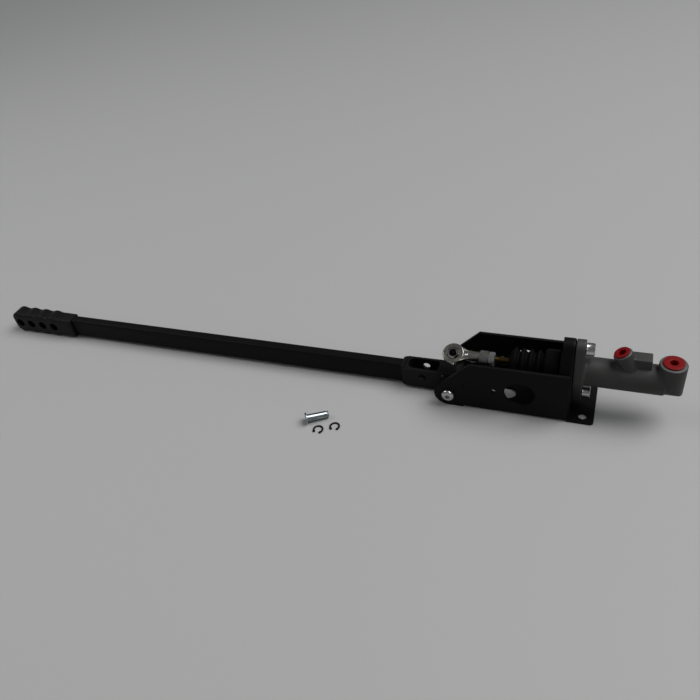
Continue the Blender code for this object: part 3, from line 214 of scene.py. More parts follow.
# %% Grain: the fine relief of a coating, a casting or rubber
grain_inputs = [("Scale", 900.0), ("Coarse Share", 0.3)]
grain_group, grain_in, grain_out = new_group("surface_grain", grain_inputs, ["Height"])
coords = grain_group.nodes.new("ShaderNodeTexCoord").outputs["Object"]
fine = add_noise(grain_group, coords, grain_in.outputs["Scale"], 2.0)
coarse_scale = add_math(grain_group, "MULTIPLY", grain_in.outputs["Scale"], 0.22)
coarse = add_noise(grain_group, coords, coarse_scale, 3.0)
coarse_part = add_math(grain_group, "MULTIPLY", coarse, grain_in.outputs["Coarse Share"])
total = add_math(grain_group, "ADD", fine, coarse_part)
grain_group.links.new(total, grain_out.inputs["Height"])
print("grain:", len(grain_group.nodes), "nodes")

# %% Mottle: slow changes of colour and gloss, from handling and uneven plating
mottle_inputs = [("Scale", 60.0), ("Contrast", 1.0)]
mottle_group, mottle_in, mottle_out = new_group("soft_mottle", mottle_inputs, ["Mask"])
coords = mottle_group.nodes.new("ShaderNodeTexCoord").outputs["Object"]
cloud = add_noise(mottle_group, coords, mottle_in.outputs["Scale"], 4.0, 0.6)
centred = add_math(mottle_group, "SUBTRACT", cloud, 0.5)
stretched = add_math(mottle_group, "MULTIPLY", centred, mottle_in.outputs["Contrast"])
mask = add_math(mottle_group, "ADD", stretched, 0.5, clamp=True)
mottle_group.links.new(mask, mottle_out.inputs["Mask"])
print("mottle:", len(mottle_group.nodes), "nodes")

# %% Lighter edges: a paler colour wherever the surface turns sharply
edge_inputs = [("Sharpness", 9.0), ("Breakup", 0.5)]
edge_group, edge_in, edge_out = new_group("lighter_edges", edge_inputs, ["Mask"])
bent = edge_group.nodes.new("ShaderNodeBevel")
bent.samples = 6
bent.inputs["Radius"].default_value = 0.0006
flat = edge_group.nodes.new("ShaderNodeNewGeometry").outputs["Normal"]
dot = edge_group.nodes.new("ShaderNodeVectorMath")
dot.operation = "DOT_PRODUCT"
edge_group.links.new(bent.outputs["Normal"], dot.inputs[0])
edge_group.links.new(flat, dot.inputs[1])
turned_away = add_math(edge_group, "SUBTRACT", 1.0, dot.outputs["Value"])
strong = add_math(edge_group, "MULTIPLY", turned_away, edge_in.outputs["Sharpness"])
coords = edge_group.nodes.new("ShaderNodeTexCoord").outputs["Object"]
patches = add_noise(edge_group, coords, 260.0, 3.0)
broken = add_math(edge_group, "MULTIPLY", patches, edge_in.outputs["Breakup"])
kept = add_math(edge_group, "SUBTRACT", strong, broken, clamp=True)
edge_group.links.new(kept, edge_out.inputs["Mask"])
print("lighter edges:", len(edge_group.nodes), "nodes")

# %% [markdown]
# ## Building a finish
#
# Each finish is one Principled shader. Its colour and gloss swing between two values by the
# mottle, its edges are lightened where the surface turns sharply, and its relief comes from the
# grain through a Bump node. It could be a new node tree each time, but a helper with named settings
# shows at a glance how one finish differs from the next: powder coat is pimply, anodising is
# smooth, a sand casting is coarse.

# %% Small node helpers
def use_group(tree, group, **values):
    node = tree.nodes.new("ShaderNodeGroup")
    node.node_tree = group
    for label, value in values.items():
        node.inputs[label.replace("_", " ")].default_value = value
    return node


def blend_colours(tree, mask, first, second):
    """A colour Mix node between two colours, which may be sockets or plain values."""
    node = tree.nodes.new("ShaderNodeMix")
    node.data_type = "RGBA"
    tree.links.new(mask, node.inputs["Factor"])
    for label, value in (("A", first), ("B", second)):
        socket = [s for s in node.inputs if s.name == label and s.type == "RGBA"][0]
        if isinstance(value, bpy.types.NodeSocket):
            tree.links.new(value, socket)
        else:
            socket.default_value = (*value, 1.0)
    return [s for s in node.outputs if s.type == "RGBA"][0]


def scale_range(tree, value, low, high):
    node = tree.nodes.new("ShaderNodeMapRange")
    node.inputs["To Min"].default_value = low
    node.inputs["To Max"].default_value = high
    tree.links.new(value, node.inputs["Value"])
    return node.outputs["Result"]


# %% A finish from its settings
def finish(
    name,
    dark,
    light,
    roughness,
    metallic=0.0,
    grain=(900.0, 0.3, 0.02),
    mottle=(60.0, 1.2),
    edge=None,
    specular=0.5,
):
    """A material. grain: scale, coarse share, depth in mm. edge: colour, sharpness, breakup."""
    made = bpy.data.materials.new(name)
    made.use_nodes = True
    tree = made.node_tree
    shader = tree.nodes["Principled BSDF"]
    shader.inputs["Metallic"].default_value = metallic
    shader.inputs["Specular IOR Level"].default_value = specular
    cloud = use_group(tree, mottle_group, Scale=mottle[0], Contrast=mottle[1]).outputs["Mask"]
    colour = blend_colours(tree, cloud, dark, light)
    # The edge mask makes the colour paler wherever the surface turns sharply.
    if edge:
        edge_lift = use_group(tree, edge_group, Sharpness=edge[1], Breakup=edge[2]).outputs["Mask"]
        colour = blend_colours(tree, edge_lift, colour, edge[0])
    tree.links.new(colour, shader.inputs["Base Color"])
    tree.links.new(scale_range(tree, cloud, *roughness), shader.inputs["Roughness"])
    relief = use_group(tree, grain_group, Scale=grain[0], Coarse_Share=grain[1]).outputs["Height"]
    bump = tree.nodes.new("ShaderNodeBump")
    bump.inputs["Strength"].default_value = 1.0
    bump.inputs["Distance"].default_value = grain[2] / 1000
    tree.links.new(relief, bump.inputs["Height"])
    tree.links.new(bump.outputs["Normal"], shader.inputs["Normal"])
    return made


# %% [markdown]
# ## Black coats
#
# The bracket, the end plate and the bar are powder coated: a baked plastic skin with a faint
# orange peel. The lever's block and grip are anodised, which is thinner and shows the metal's
# own smooth face. The weld is coated with the rest, and the clips are blackened spring steel.
# Black could be one shared colour, but these four differ in gloss and grain, and that is what
# tells them apart. All but the weld are a little paler along their sharp edges.

# %% Powder coat, anodising, weld and spring steel
POWDER = finish(
    "powder_coat", (0.0024, 0.0024, 0.0026), (0.0038, 0.0038, 0.0041), (0.42, 0.54),
    grain=(1400.0, 0.8, 0.03), edge=((0.012, 0.012, 0.0125), 3.0, 0.8), specular=0.09,
)
ANODISED_BLACK = finish(
    "black_anodising", (0.0034, 0.0034, 0.0036), (0.0052, 0.0052, 0.0054), (0.38, 0.48),
    grain=(2600.0, 0.3, 0.008), edge=((0.02, 0.02, 0.021), 3.5, 0.7), specular=0.13,
)
WELD = finish(
    "coated_weld", (0.0035, 0.0035, 0.0038), (0.0065, 0.0065, 0.007), (0.4, 0.55),
    grain=(1500.0, 0.6, 0.03), mottle=(300.0, 1.6), specular=0.12,
)
BLACK_STEEL = finish(
    "black_spring_steel", (0.002, 0.002, 0.0022), (0.005, 0.005, 0.0055), (0.34, 0.46),
    grain=(2600.0, 0.5, 0.008), edge=((0.012, 0.012, 0.012), 3.0, 0.7), specular=0.15,
)
print("black coats:", POWDER.name, ANODISED_BLACK.name, WELD.name, BLACK_STEEL.name)

# %% [markdown]
# ## Cast and machined alloy
#
# The cylinder is a dull grey sand casting with a coarse skin. Where a cutter has passed over it,
# on top of the two ports, the alloy is paler and smooth. The piston is the same kind of alloy,
# turned all over and clear anodised.

# %% Rough casting, cut faces and clear anodising
CASTING = finish(
    "grey_casting", (0.034, 0.0328, 0.032), (0.048, 0.0465, 0.0455), (0.5, 0.62), metallic=0.25,
    grain=(1500.0, 1.0, 0.05), mottle=(45.0, 1.6), edge=((0.06, 0.059, 0.057), 4.0, 0.7),
    specular=0.3,
)
MACHINED_CAST = finish(
    "machined_casting", (0.075, 0.075, 0.074), (0.12, 0.12, 0.118), (0.4, 0.52), metallic=0.4,
    grain=(2400.0, 0.4, 0.01), mottle=(140.0, 1.3),
)
CLEAR_ANODISED = finish(
    "clear_anodising", (0.38, 0.385, 0.39), (0.48, 0.485, 0.49), (0.3, 0.42), metallic=1.0,
    grain=(2600.0, 0.3, 0.006), mottle=(120.0, 1.2),
)
print("alloys:", CASTING.name, MACHINED_CAST.name, CLEAR_ANODISED.name)

# %% [markdown]
# ## Plated and bare metal
#
# Zinc plating comes in several tints, given by the bath that it is dipped in last: bright on the
# bolts, a little warm on the rod end, bluish on the loose pin, yellow on the pushrod. All are
# full metals, so their colour is the colour of their reflections. The ball is polished, and the
# bush in the lever's pivot is bronze.

# %% Zinc tints, steel, chrome and bronze
ZINC = finish(
    "bright_zinc", (0.42, 0.425, 0.425), (0.60, 0.60, 0.595), (0.2, 0.3), metallic=1.0,
    grain=(2600.0, 0.5, 0.006), mottle=(160.0, 1.8),
)
WARM_ZINC = finish(
    "warm_zinc", (0.26, 0.25, 0.225), (0.42, 0.405, 0.37), (0.2, 0.3), metallic=1.0,
    grain=(2400.0, 0.5, 0.008), mottle=(150.0, 2.0),
)
BLUE_ZINC = finish(
    "blue_zinc", (0.24, 0.275, 0.29), (0.37, 0.41, 0.43), (0.13, 0.2), metallic=1.0,
    grain=(2600.0, 0.5, 0.006), mottle=(160.0, 1.5),
)
YELLOW_ZINC = finish(
    "yellow_zinc", (0.045, 0.027, 0.009), (0.085, 0.052, 0.017), (0.28, 0.4), metallic=1.0,
    grain=(2600.0, 0.5, 0.006), mottle=(220.0, 1.6),
)
STEEL = finish(
    "plain_steel", (0.26, 0.255, 0.25), (0.38, 0.375, 0.37), (0.3, 0.42), metallic=1.0,
    grain=(2200.0, 0.4, 0.01), mottle=(120.0, 1.4),
)
CHROME = finish(
    "polished_chrome", (0.30, 0.275, 0.27), (0.40, 0.37, 0.365), (0.05, 0.1), metallic=1.0,
    grain=(2600.0, 0.3, 0.001), mottle=(90.0, 1.0),
)
BRONZE = finish(
    "bearing_bronze", (0.34, 0.2, 0.075), (0.45, 0.29, 0.12), (0.3, 0.42), metallic=1.0,
    grain=(2600.0, 0.4, 0.006), mottle=(150.0, 1.5),
)
print("plated:", [made.name for made in (ZINC, WARM_ZINC, BLUE_ZINC, YELLOW_ZINC, CHROME)])

# %% [markdown]
# ## Rubber and plastic
#
# The boot is matt black rubber, bloomed a little by handling. The shipping plugs are moulded in
# soft red plastic with a faint texture from the mould. Neither is a metal, so each keeps a weak,
# colourless gloss over its own colour.

# %% Boot rubber and red plastic
RUBBER = finish(
    "boot_rubber", (0.0009, 0.0009, 0.00095), (0.0019, 0.0019, 0.002), (0.58, 0.72),
    grain=(1800.0, 0.7, 0.02), mottle=(70.0, 1.8), specular=0.06,
)
RED_PLASTIC = finish(
    "red_plastic", (0.135, 0.0013, 0.0024), (0.185, 0.002, 0.0036), (0.4, 0.52),
    grain=(1700.0, 0.5, 0.012), mottle=(110.0, 1.2), specular=0.16,
)
print("finishes:", len(bpy.data.materials))

# %% [markdown]
# ## Dressing a measured piece
#
# Flat machined and folded pieces already have the right shape, so they aren't built again.
# Their mesh comes as loose triangles and their holes as flat facets. A copy is merged, its flat
# areas are joined, its round walls are made rounder, and a narrow Bevel modifier breaks the
# sharp edges. Real edges are never knife sharp, and the narrow rounds catch the light.

# %% A piece that stands for a measured node
BODY_OF = {
    node: body for body, nodes in frame["record"]["behaviour"]["bodies"].items() for node in nodes
}


def add_piece(name, bm, material, node, crease=35.0, rides=True):
    """Turns a bmesh into a piece that stands for a node and rides on the node's body."""
    mesh = bpy.data.meshes.new(name)
    bm.to_mesh(mesh)
    bm.free()
    mesh.shade_smooth()
    mesh.set_sharp_from_angle(angle=radians(crease))
    piece = bpy.data.objects.new(name, mesh)
    bpy.context.scene.collection.objects.link(piece)
    mesh.materials.append(material)
    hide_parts(node)
    if rides:
        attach(piece, BODY_OF[node])
    return piece


# %% Rounder walls and holes
def round_out(bm, axis, centre, radius, cuts=3, reach=4e-5):
    """Splits the facets of a round wall and lifts the new points onto the true circle.

    The wall runs along an axis, 0 to 2, and its centre is given on the other two axes.
    """
    across = [k for k in range(3) if k != axis]

    def off_axis(point):
        return hypot(point[across[0]] - centre[0], point[across[1]] - centre[1])

    rims = []
    for edge in bm.edges:
        first, second = (vert.co for vert in edge.verts)
        level = abs(first[axis] - second[axis]) < reach
        if level and all(abs(off_axis(point) - radius) < reach for point in (first, second)):
            rims.append(edge)
    before = set(bm.verts)
    bmesh.ops.subdivide_edges(bm, edges=rims, cuts=cuts, use_grid_fill=True)
    for vert in bm.verts:
        distance = off_axis(vert.co)
        if vert in before or distance < radius * 0.5 or distance > radius * 1.01:
            continue
        for k, middle in zip(across, centre):
            vert.co[k] = middle + (vert.co[k] - middle) * radius / distance


# %% Copy, merge and bevel
def dressed(name, node, material, width=0.0003, angle=30.0, rounds=()):
    """A merged copy of a node with its round walls refined and its edges broken by a bevel."""
    bm = bmesh.new()
    bm.from_mesh(frame["nodes"][node].data)
    bmesh.ops.remove_doubles(bm, verts=bm.verts, dist=2e-6)
    bmesh.ops.dissolve_limit(bm, angle_limit=radians(0.5), verts=bm.verts, edges=bm.edges)
    for turned in rounds:
        round_out(bm, *turned)
    piece = add_piece(name, bm, material, node, crease=angle)
    if width:
        bevel = piece.modifiers.new("broken_edges", "BEVEL")
        bevel.width = width
        bevel.segments = 2
        bevel.limit_method = "ANGLE"
        bevel.angle_limit = radians(angle)
        bevel.harden_normals = True
        bevel.use_clamp_overlap = True
    print(name, "dressed:", len(piece.data.polygons), "faces")
    return piece


# %% [markdown]
# ## Bracket and end plate
#
# The bracket is one sheet, cut and folded into a channel, and the end plate stands between its
# walls. Each wall has a big round window and two small holes, and the floor has four holes
# for the bolts that hold it to a car. A slightly wider bevel than on the machined pieces stands
# for the thick skin of powder coat, which softens every edge that it flows over.

# %% Bracket and end plate
Y, Z = 1, 2
M8_ROOM = 0.0043
HINGE_LINE = (PIVOT.x, PIVOT.z)
WALL_HOLE_HEIGHT = 0.0292
WALL_HOLES = ((0.0749, 0.0156), (0.0150, 0.0024), (0.0484, 0.0024))
MOUNT_HOLE = 0.0046
COATED_EDGE = 0.0004

bracket_rounds = [(Y, HINGE_LINE, M8_ROOM), (Y, HINGE_LINE, PIVOT.z)]
for from_pivot, radius in WALL_HOLES:
    bracket_rounds.append((Y, (PIVOT.x + from_pivot, WALL_HOLE_HEIGHT), radius))
for hole_x in (0.0, -0.085):
    for hole_y in (-0.019, 0.019):
        bracket_rounds.append((Z, (hole_x, hole_y), MOUNT_HOLE))
dressed("bracket", "base_bracket", POWDER, COATED_EDGE, rounds=bracket_rounds)
dressed("mounting_plate", "end_plate", POWDER, COATED_EDGE)

# %% [markdown]
# ## The lever
#
# A milled block turns on the pivot, and a long flat bar is welded to its end. The bar carries a
# milled grip with scallops for the fingers and four round holes that save weight. The pivot runs
# in a bronze bush, and two turned spacers keep the block in the middle of the bracket.

# %% Block, bar, grip and the pivot's rings
BLOCK_NOSE, BUSH_HOLE, PIN_HOLE = 0.013, 0.0064, 0.00415
PIN_LINE = (PIVOT.x - 0.03298, PIVOT.z + 0.003)
GRIP_EDGE = 0.0004
block_rounds = [(Y, HINGE_LINE, BLOCK_NOSE), (Y, HINGE_LINE, BUSH_HOLE), (Y, PIN_LINE, PIN_HOLE)]
dressed("pivot_block", "lever_block", ANODISED_BLACK, rounds=block_rounds)
dressed("bar", "lever_bar", POWDER, COATED_EDGE)
dressed("hand_grip", "grip", ANODISED_BLACK, GRIP_EDGE)
dressed("weld", "weld_bead", WELD, 0.0)
dressed("bush", "pivot_bush", BRONZE, 0.0002)
dressed("near_spacer", "spacer_near", ZINC)
dressed("far_spacer", "spacer_far", ZINC)

# %% [markdown]
# ## Turned pieces
#
# Bolts, plugs, the boot, the pin and most of the rod end are bodies of revolution. Each is a
# short profile of (distance along, radius) points. It could be a Screw modifier, but a spin in
# bmesh leaves a mesh that booleans can cut at once. The profile's corners are rounded first,
# because a turned edge is always broken.

# %% Rounding a profile
def softened(profile, size, ring=False, steps=3):
    """Rounds the corners of a profile. Its two ends stay, unless it closes on itself."""
    points = [Vector(point) for point in profile]
    count = len(points)
    result = []
    for k, corner in enumerate(points):
        if not ring and k in (0, count - 1):
            result.append(corner)
            continue
        before, after = points[k - 1] - corner, points[(k + 1) % count] - corner
        turn = pi - before.angle(after, pi)
        if turn < radians(20):
            result.append(corner)
            continue
        reach = min(size, 0.4 * before.length, 0.4 * after.length)
        start, end = corner + before.normalized() * reach, corner + after.normalized() * reach
        for j in range(steps + 1):
            t = j / steps
            result.append(start * (1 - t) ** 2 + corner * 2 * t * (1 - t) + end * t**2)
    return [tuple(point) for point in result]


# %% Spinning it and putting it in place
def axis_matrix(direction):
    """Turns local +X onto the direction, with local +Z as near to world +Z as it can be."""
    along = Vector(direction).normalized()
    side = Vector((0, 0, 1)).cross(along)
    if side.length < 1e-6:
        side = Vector((0, 1, 0))
    side.normalize()
    return Matrix((along, side, along.cross(side))).transposed().to_4x4()


def spun(profile, steps=72, ring=False, at=(0, 0, 0), way=(1, 0, 0), soft=0.0003):
    """A body of revolution about +X, moved so that its origin and axis lie at a place."""
    if soft:
        profile = softened(profile, soft, ring)
    bm = bmesh.new()
    points = [bm.verts.new((along, 0.0, radius)) for along, radius in profile]
    pairs = list(zip(points, points[1:]))
    if ring:
        pairs.append((points[-1], points[0]))
    edges = [bm.edges.new(pair) for pair in pairs]
    bmesh.ops.spin(
        bm, geom=points + edges, cent=(0, 0, 0), axis=(1, 0, 0), angle=2 * pi, steps=steps,
        use_merge=True,
    )
    bmesh.ops.remove_doubles(bm, verts=bm.verts, dist=1e-6)
    bmesh.ops.recalc_face_normals(bm, faces=bm.faces)
    bm.transform(Matrix.Translation(at) @ axis_matrix(way))
    return bm


def arc(centre, radius, start, end, steps):
    turns = [start + (end - start) * k / steps for k in range(steps + 1)]
    return [(centre[0] + radius * cos(t), centre[1] + radius * sin(t)) for t in turns]


# %% [markdown]
# ## The cast cylinder
#
# A sand casting has no sharp inner corners: wherever a boss grows out of the barrel, the metal
# runs in a soft fillet. Bevelling each join would take many careful cuts. So the shapes are made
# apart and overlapping, fused by a fine voxel remesh and then smoothed a little, which rounds
# every corner as the foundry's pattern does. The faces that were machined afterwards are added
# on top, crisp and brighter.

# %% Flat outlines and booleans
def extruded(outline, start, end, bevel=0.0, at=(0, 0, 0)):
    """A flat outline in (Y, Z) extruded along +X, with both rims bevelled."""
    bm = bmesh.new()
    face = bm.faces.new([bm.verts.new((start, u, v)) for u, v in outline])
    grown = bmesh.ops.extrude_face_region(bm, geom=[face], use_keep_orig=True)["geom"]
    moved = [item for item in grown if isinstance(item, bmesh.types.BMVert)]
    bmesh.ops.translate(bm, verts=moved, vec=(end - start, 0, 0))
    if bevel:
        ends = [item for item in grown if isinstance(item, bmesh.types.BMFace)] + [face]
        rim = list({edge for end_face in ends for edge in end_face.edges})
        bmesh.ops.bevel(
            bm, geom=rim, offset=bevel, segments=2, profile=0.5, affect="EDGES", material=-1
        )
    bmesh.ops.recalc_face_normals(bm, faces=bm.faces)
    bm.transform(Matrix.Translation(at))
    return bm


def combined(base, tool, operation):
    """Booleans two bmeshes and frees them both."""
    items = []
    for bm in (base, tool):
        mesh = bpy.data.meshes.new("work")
        bm.to_mesh(mesh)
        bm.free()
        item = bpy.data.objects.new("work", mesh)
        bpy.context.scene.collection.objects.link(item)
        items.append(item)
    change = items[0].modifiers.new("change", "BOOLEAN")
    change.operation = operation
    change.object = items[1]
    change.solver = "EXACT"
    bpy.context.view_layer.update()
    graph = bpy.context.evaluated_depsgraph_get()
    result = bmesh.new()
    result.from_mesh(bpy.data.meshes.new_from_object(items[0].evaluated_get(graph)))
    for item in items:
        bpy.data.objects.remove(item, do_unlink=True)
    bmesh.ops.remove_doubles(result, verts=result.verts, dist=1e-6)
    return result


# %% Sizes of the casting
FLANGE_X, FLANGE_END = -0.0132, -0.0042
NOSE_X, NOSE_RADIUS = FLANGE_X - 0.027, 0.015
FLANGE_BOSS = 0.0168
BARREL_END, BARREL_RADIUS, TAIL_RADIUS = 0.0700, 0.015, 0.0136
BORE_END, BORE_RADIUS = 0.0782, 0.0095
BOLT_HALF = 0.05715 / 2
LEAN = radians(27)
UPRIGHT = Vector((0, 0, 1))
LEANING = Vector((-sin(LEAN), 0, cos(LEAN)))
OUTLET = {"x": 0.0751, "radius": 0.0128, "height": 0.0225, "way": UPRIGHT, "foot": 0.0}
INLET = {"x": 0.0433, "radius": 0.0092, "height": 0.0318, "way": LEANING, "foot": 0.0125}
PLUG_SOCKET, SOCKET_DEPTH = 0.0053, 0.0063
CYLINDER_START = (0.0, 0.0, CYLINDER_HEIGHT)


def boss_at(port):
    return Vector((port["x"], 0.0, CYLINDER_HEIGHT))


def flange_outline(ear=0.0094, middle=0.0185):
    """Band round three circles in an upright row, in (Y, Z) about the cylinder's axis."""
    lean = asin((middle - ear) / BOLT_HALF)
    right = arc((0.0, BOLT_HALF), ear, pi / 2, lean, 16)
    right += arc((0.0, 0.0), middle, lean, -lean, 16)
    right += arc((0.0, -BOLT_HALF), ear, -lean, -pi / 2, 16)
    return right + [(-u, v) for u, v in reversed(right) if u > 1e-9]


# %% Barrel and flange, open for the bore
shell = [
    (BORE_END, 0.0), (BORE_END, BORE_RADIUS), (NOSE_X, BORE_RADIUS), (NOSE_X, NOSE_RADIUS),
    (FLANGE_END - 0.001, NOSE_RADIUS), (FLANGE_END - 0.001, FLANGE_BOSS),
    (FLANGE_END + 0.0002, FLANGE_BOSS - 0.0006), (FLANGE_END + 0.0018, BARREL_RADIUS),
    (BARREL_END, BARREL_RADIUS), (BARREL_END + 0.0010, TAIL_RADIUS), (OUTLET["x"], TAIL_RADIUS),
    (BORE_END + 0.003, BORE_RADIUS + 0.0006), (BORE_END + 0.003, 0.0),
]
parts = [spun(shell, 96, at=CYLINDER_START, soft=0)]
opening = BORE_RADIUS + 0.002
hollow = [(-0.05, 0.0), (-0.05, opening), (0.02, opening), (0.02, 0.0)]
parts.append(
    combined(
        extruded(flange_outline(), FLANGE_X, FLANGE_END, at=CYLINDER_START),
        spun(hollow, 64, at=CYLINDER_START, soft=0), "DIFFERENCE",
    )
)
print("barrel and flange:", [len(part.faces) for part in parts], "faces")

# %% Bosses of the two ports
room = [(0.0, 0.0), (0.0, BORE_RADIUS), (BORE_END, BORE_RADIUS), (BORE_END, 0.0)]


def bored(solid):
    """Takes the room of the bore out of a solid."""
    return combined(solid, spun(room, 72, at=CYLINDER_START, soft=0), "DIFFERENCE")


for port in (OUTLET, INLET):
    top = port["height"] - 0.0004
    side = [(port["foot"], 0.0), (port["foot"], port["radius"]), (top, port["radius"])]
    side += [(top, PLUG_SOCKET), (top - SOCKET_DEPTH, PLUG_SOCKET), (top - SOCKET_DEPTH, 0.0)]
    parts.append(bored(spun(side, 72, at=boss_at(port), way=port["way"], soft=0)))

# Below the axis the outlet's boss goes on down, cut off by the round of the tail
side = [(-0.02, 0.0), (-0.02, OUTLET["radius"]), (0.0005, OUTLET["radius"]), (0.0005, 0.0)]
upright = spun(side, 72, at=boss_at(OUTLET), way=OUTLET["way"], soft=0)
tail_start, tail_end = BARREL_END - 0.009, 0.09
side = [(tail_start, 0.0), (tail_start, TAIL_RADIUS), (tail_end, TAIL_RADIUS), (tail_end, 0.0)]
under = combined(upright, spun(side, 96, at=CYLINDER_START, soft=0), "INTERSECT")
parts.append(bored(under))
print("bosses:", len(parts) - 2, "solids")

# %% Square pad, and everything fused
PAD_START, PAD_LENGTH = 0.0376, 0.019
PAD_MIDDLE, PAD_HALF = 0.0021, 0.0066
PAD_FOOT, PAD_TOP = 0.0120, 0.0255
corners = ((1, 1), (-1, 1), (-1, -1), (1, -1))
pad_outline = [
    (PAD_MIDDLE + across * PAD_HALF, PAD_LENGTH / 2 * (1 + along)) for across, along in corners
]
pad = extruded(pad_outline, PAD_FOOT, PAD_TOP, 0.0006)
pad.transform(Matrix(((0, 0, 1, PAD_START), (0, 1, 0, 0), (1, 0, 0, CYLINDER_HEIGHT), (0, 0, 0, 1))))
bmesh.ops.recalc_face_normals(pad, faces=pad.faces)
parts.append(pad)

rough = bmesh.new()
for part in parts:
    mesh = bpy.data.meshes.new("work")
    part.to_mesh(mesh)
    part.free()
    rough.from_mesh(mesh)
    bpy.data.meshes.remove(mesh)
casting = add_piece("cast_body", rough, CASTING, "cylinder_body", crease=60)
remesh = casting.modifiers.new("fuse", "REMESH")
remesh.mode = "VOXEL"
remesh.voxel_size = 0.0006
remesh.use_smooth_shade = True
smooth = casting.modifiers.new("fillets", "SMOOTH")
smooth.factor = 0.5
smooth.iterations = 6
print("casting fused from", len(parts), "solids")

# %% Its machined faces
for label, port in (("outlet", OUTLET), ("inlet", INLET)):
    top, rim = port["height"], port["radius"] - 0.0004
    face = [(top - 0.0006, PLUG_SOCKET), (top - 0.0006, rim), (top, rim - 0.0004)]
    face += [(top, PLUG_SOCKET + 0.0004)]
    seat = spun(face, 96, True, boss_at(port), port["way"], 0.0001)
    add_piece(label + "_seat", seat, MACHINED_CAST, "cylinder_body")
print("machined faces: 2")

# %% [markdown]
# ## Shipping plugs
#
# The ports are closed for the post by plugs moulded in soft red plastic: a flat rim, a recess
# with rounded edges and a stem that grips the port. A plug is as round as a bottle cap, so one
# spun profile gives all of it.

# %% Red plugs
for node, port, radius in (("outlet_plug", OUTLET, 0.0098), ("inlet_plug", INLET, 0.0077)):
    rim_top = GAP + 0.0014
    plug = [
        (-0.006, 0.0), (-0.006, 0.005), (GAP, 0.005), (GAP, radius), (rim_top, radius),
        (rim_top, 0.0038), (-0.0048, 0.0036), (-0.0048, 0.0),
    ]
    at = boss_at(port) + port["way"] * port["height"]
    solid = spun(plug, 72, False, at, port["way"], 0.0005)
    add_piece("red_" + node, solid, RED_PLASTIC, node, 40)
print("plugs: 2")

# %% [markdown]
# ## Fasteners
#
# Socket heads are knurled on the side and have a hexagonal recess. The pivot's head is a low
# dome. Nuts have their corners turned off, and every thread is a real helix where it shows. A
# bump texture could fake both knurl and thread, but their outlines would stay smooth.

# %% Hexagons, nuts and threads
def hexagon(flats):
    corner = flats / sqrt(3)
    return [(corner * cos(k * pi / 3), corner * sin(k * pi / 3)) for k in range(6)]


def hex_nut(flats, start, end, at, way, bore=M8_ROOM):
    """A nut: hexagon with its corners turned off at both ends and a chamfered bore."""
    corner = flats / sqrt(3)
    trim = (corner - flats / 2) * tan(radians(30))
    turned = [(start, 0.0), (start, flats / 2), (start + trim, corner), (end - trim, corner)]
    turned += [(end, flats / 2), (end, 0.0)]
    turned = [(x, r * 1.0005) for x, r in turned]
    blank = extruded(hexagon(flats), start - 0.0001, end + 0.0001)
    nut = combined(blank, spun(turned, 96, soft=0), "INTERSECT")
    lead = 0.0005
    hole = [(start - 0.001, 0.0), (start - 0.001, bore + lead), (start, bore + lead)]
    hole += [(start + lead, bore), (end - lead, bore), (end, bore + lead)]
    hole += [(end + 0.001, bore + lead), (end + 0.001, 0.0)]
    nut = combined(nut, spun(hole, 64, soft=0), "DIFFERENCE")
    nut.transform(Matrix.Translation(at) @ axis_matrix(way))
    return nut


def threaded(start, end, radius=0.004, depth=0.0006, pitch=0.00125, tip=0.0007, steps=40):
    """A threaded bar about +X: a grid rolled into a tube whose radius follows the helix."""
    rows = int((end - start) / pitch * 8)
    bm = bmesh.new()
    bmesh.ops.create_grid(bm, x_segments=rows, y_segments=steps, size=1.0)
    for vert in bm.verts:
        along = start + (vert.co.x + 1) / 2 * (end - start)
        turn = (vert.co.y + 1) * pi
        phase = ((along - start) / pitch - turn / (2 * pi)) % 1.0
        wave = abs(2 * phase - 1)
        fade = min(1.0, (along - start) / tip, (end - along) / tip)
        reach = radius - depth * (1 - wave * fade)
        vert.co = Vector((along, reach * cos(turn), reach * sin(turn)))
    bmesh.ops.remove_doubles(bm, verts=bm.verts, dist=1e-6)
    bmesh.ops.holes_fill(bm, edges=bm.edges, sides=0)
    bmesh.ops.recalc_face_normals(bm, faces=bm.faces)
    return bm


# %% Socket head bolts of the flange
M8 = 0.004
HEAD_RADIUS, HEAD_HEIGHT = 0.0065, 0.008
KNURLS, KNURL_FLOOR = 36, 0.955
for label, z in (("upper", CYLINDER_HEIGHT + BOLT_HALF), ("lower", CYLINDER_HEIGHT - BOLT_HALF)):
    seat = FLANGE_END + GAP
    top = seat + HEAD_HEIGHT
    side = [(seat, 0.0), (seat, HEAD_RADIUS - 0.0004), (seat + 0.0004, HEAD_RADIUS)]
    side += [(seat + 0.0009, HEAD_RADIUS), (top - 0.0012, HEAD_RADIUS)]
    side += [(top - 0.0007, HEAD_RADIUS), (top - 0.0002, HEAD_RADIUS - 0.0003)]
    side += [(top, HEAD_RADIUS - 0.0007), (top, 0.0)]
    head = spun(side, KNURLS * 2, soft=0)
    for vert in head.verts:
        step = round(atan2(vert.co.z, vert.co.y) / (pi / KNURLS))
        if step % 2 and seat + 0.0008 < vert.co.x < top - 0.0011:
            vert.co.y *= KNURL_FLOOR
            vert.co.z *= KNURL_FLOOR
    recess = extruded(hexagon(0.006), top - 0.004, top + 0.001)
    head = combined(head, recess, "DIFFERENCE")
    bolt = combined(head, threaded(seat - 0.020, seat + 0.0005), "UNION")
    bolt.transform(Matrix.Translation((0, 0, z)))
    add_piece("cap_bolt_" + label, bolt, ZINC, "flange_bolt_" + label)
print("cap bolts: 2, with", KNURLS, "ridges each")

# %% Dome headed bolt of the pivot, its washer and its nut
WALL_FACE = 0.02785
WASHER_THICKNESS = 0.0016
NUT_FLATS, NUT_HEIGHT = 0.013, 0.0065
ACROSS = (0, 1, 0)

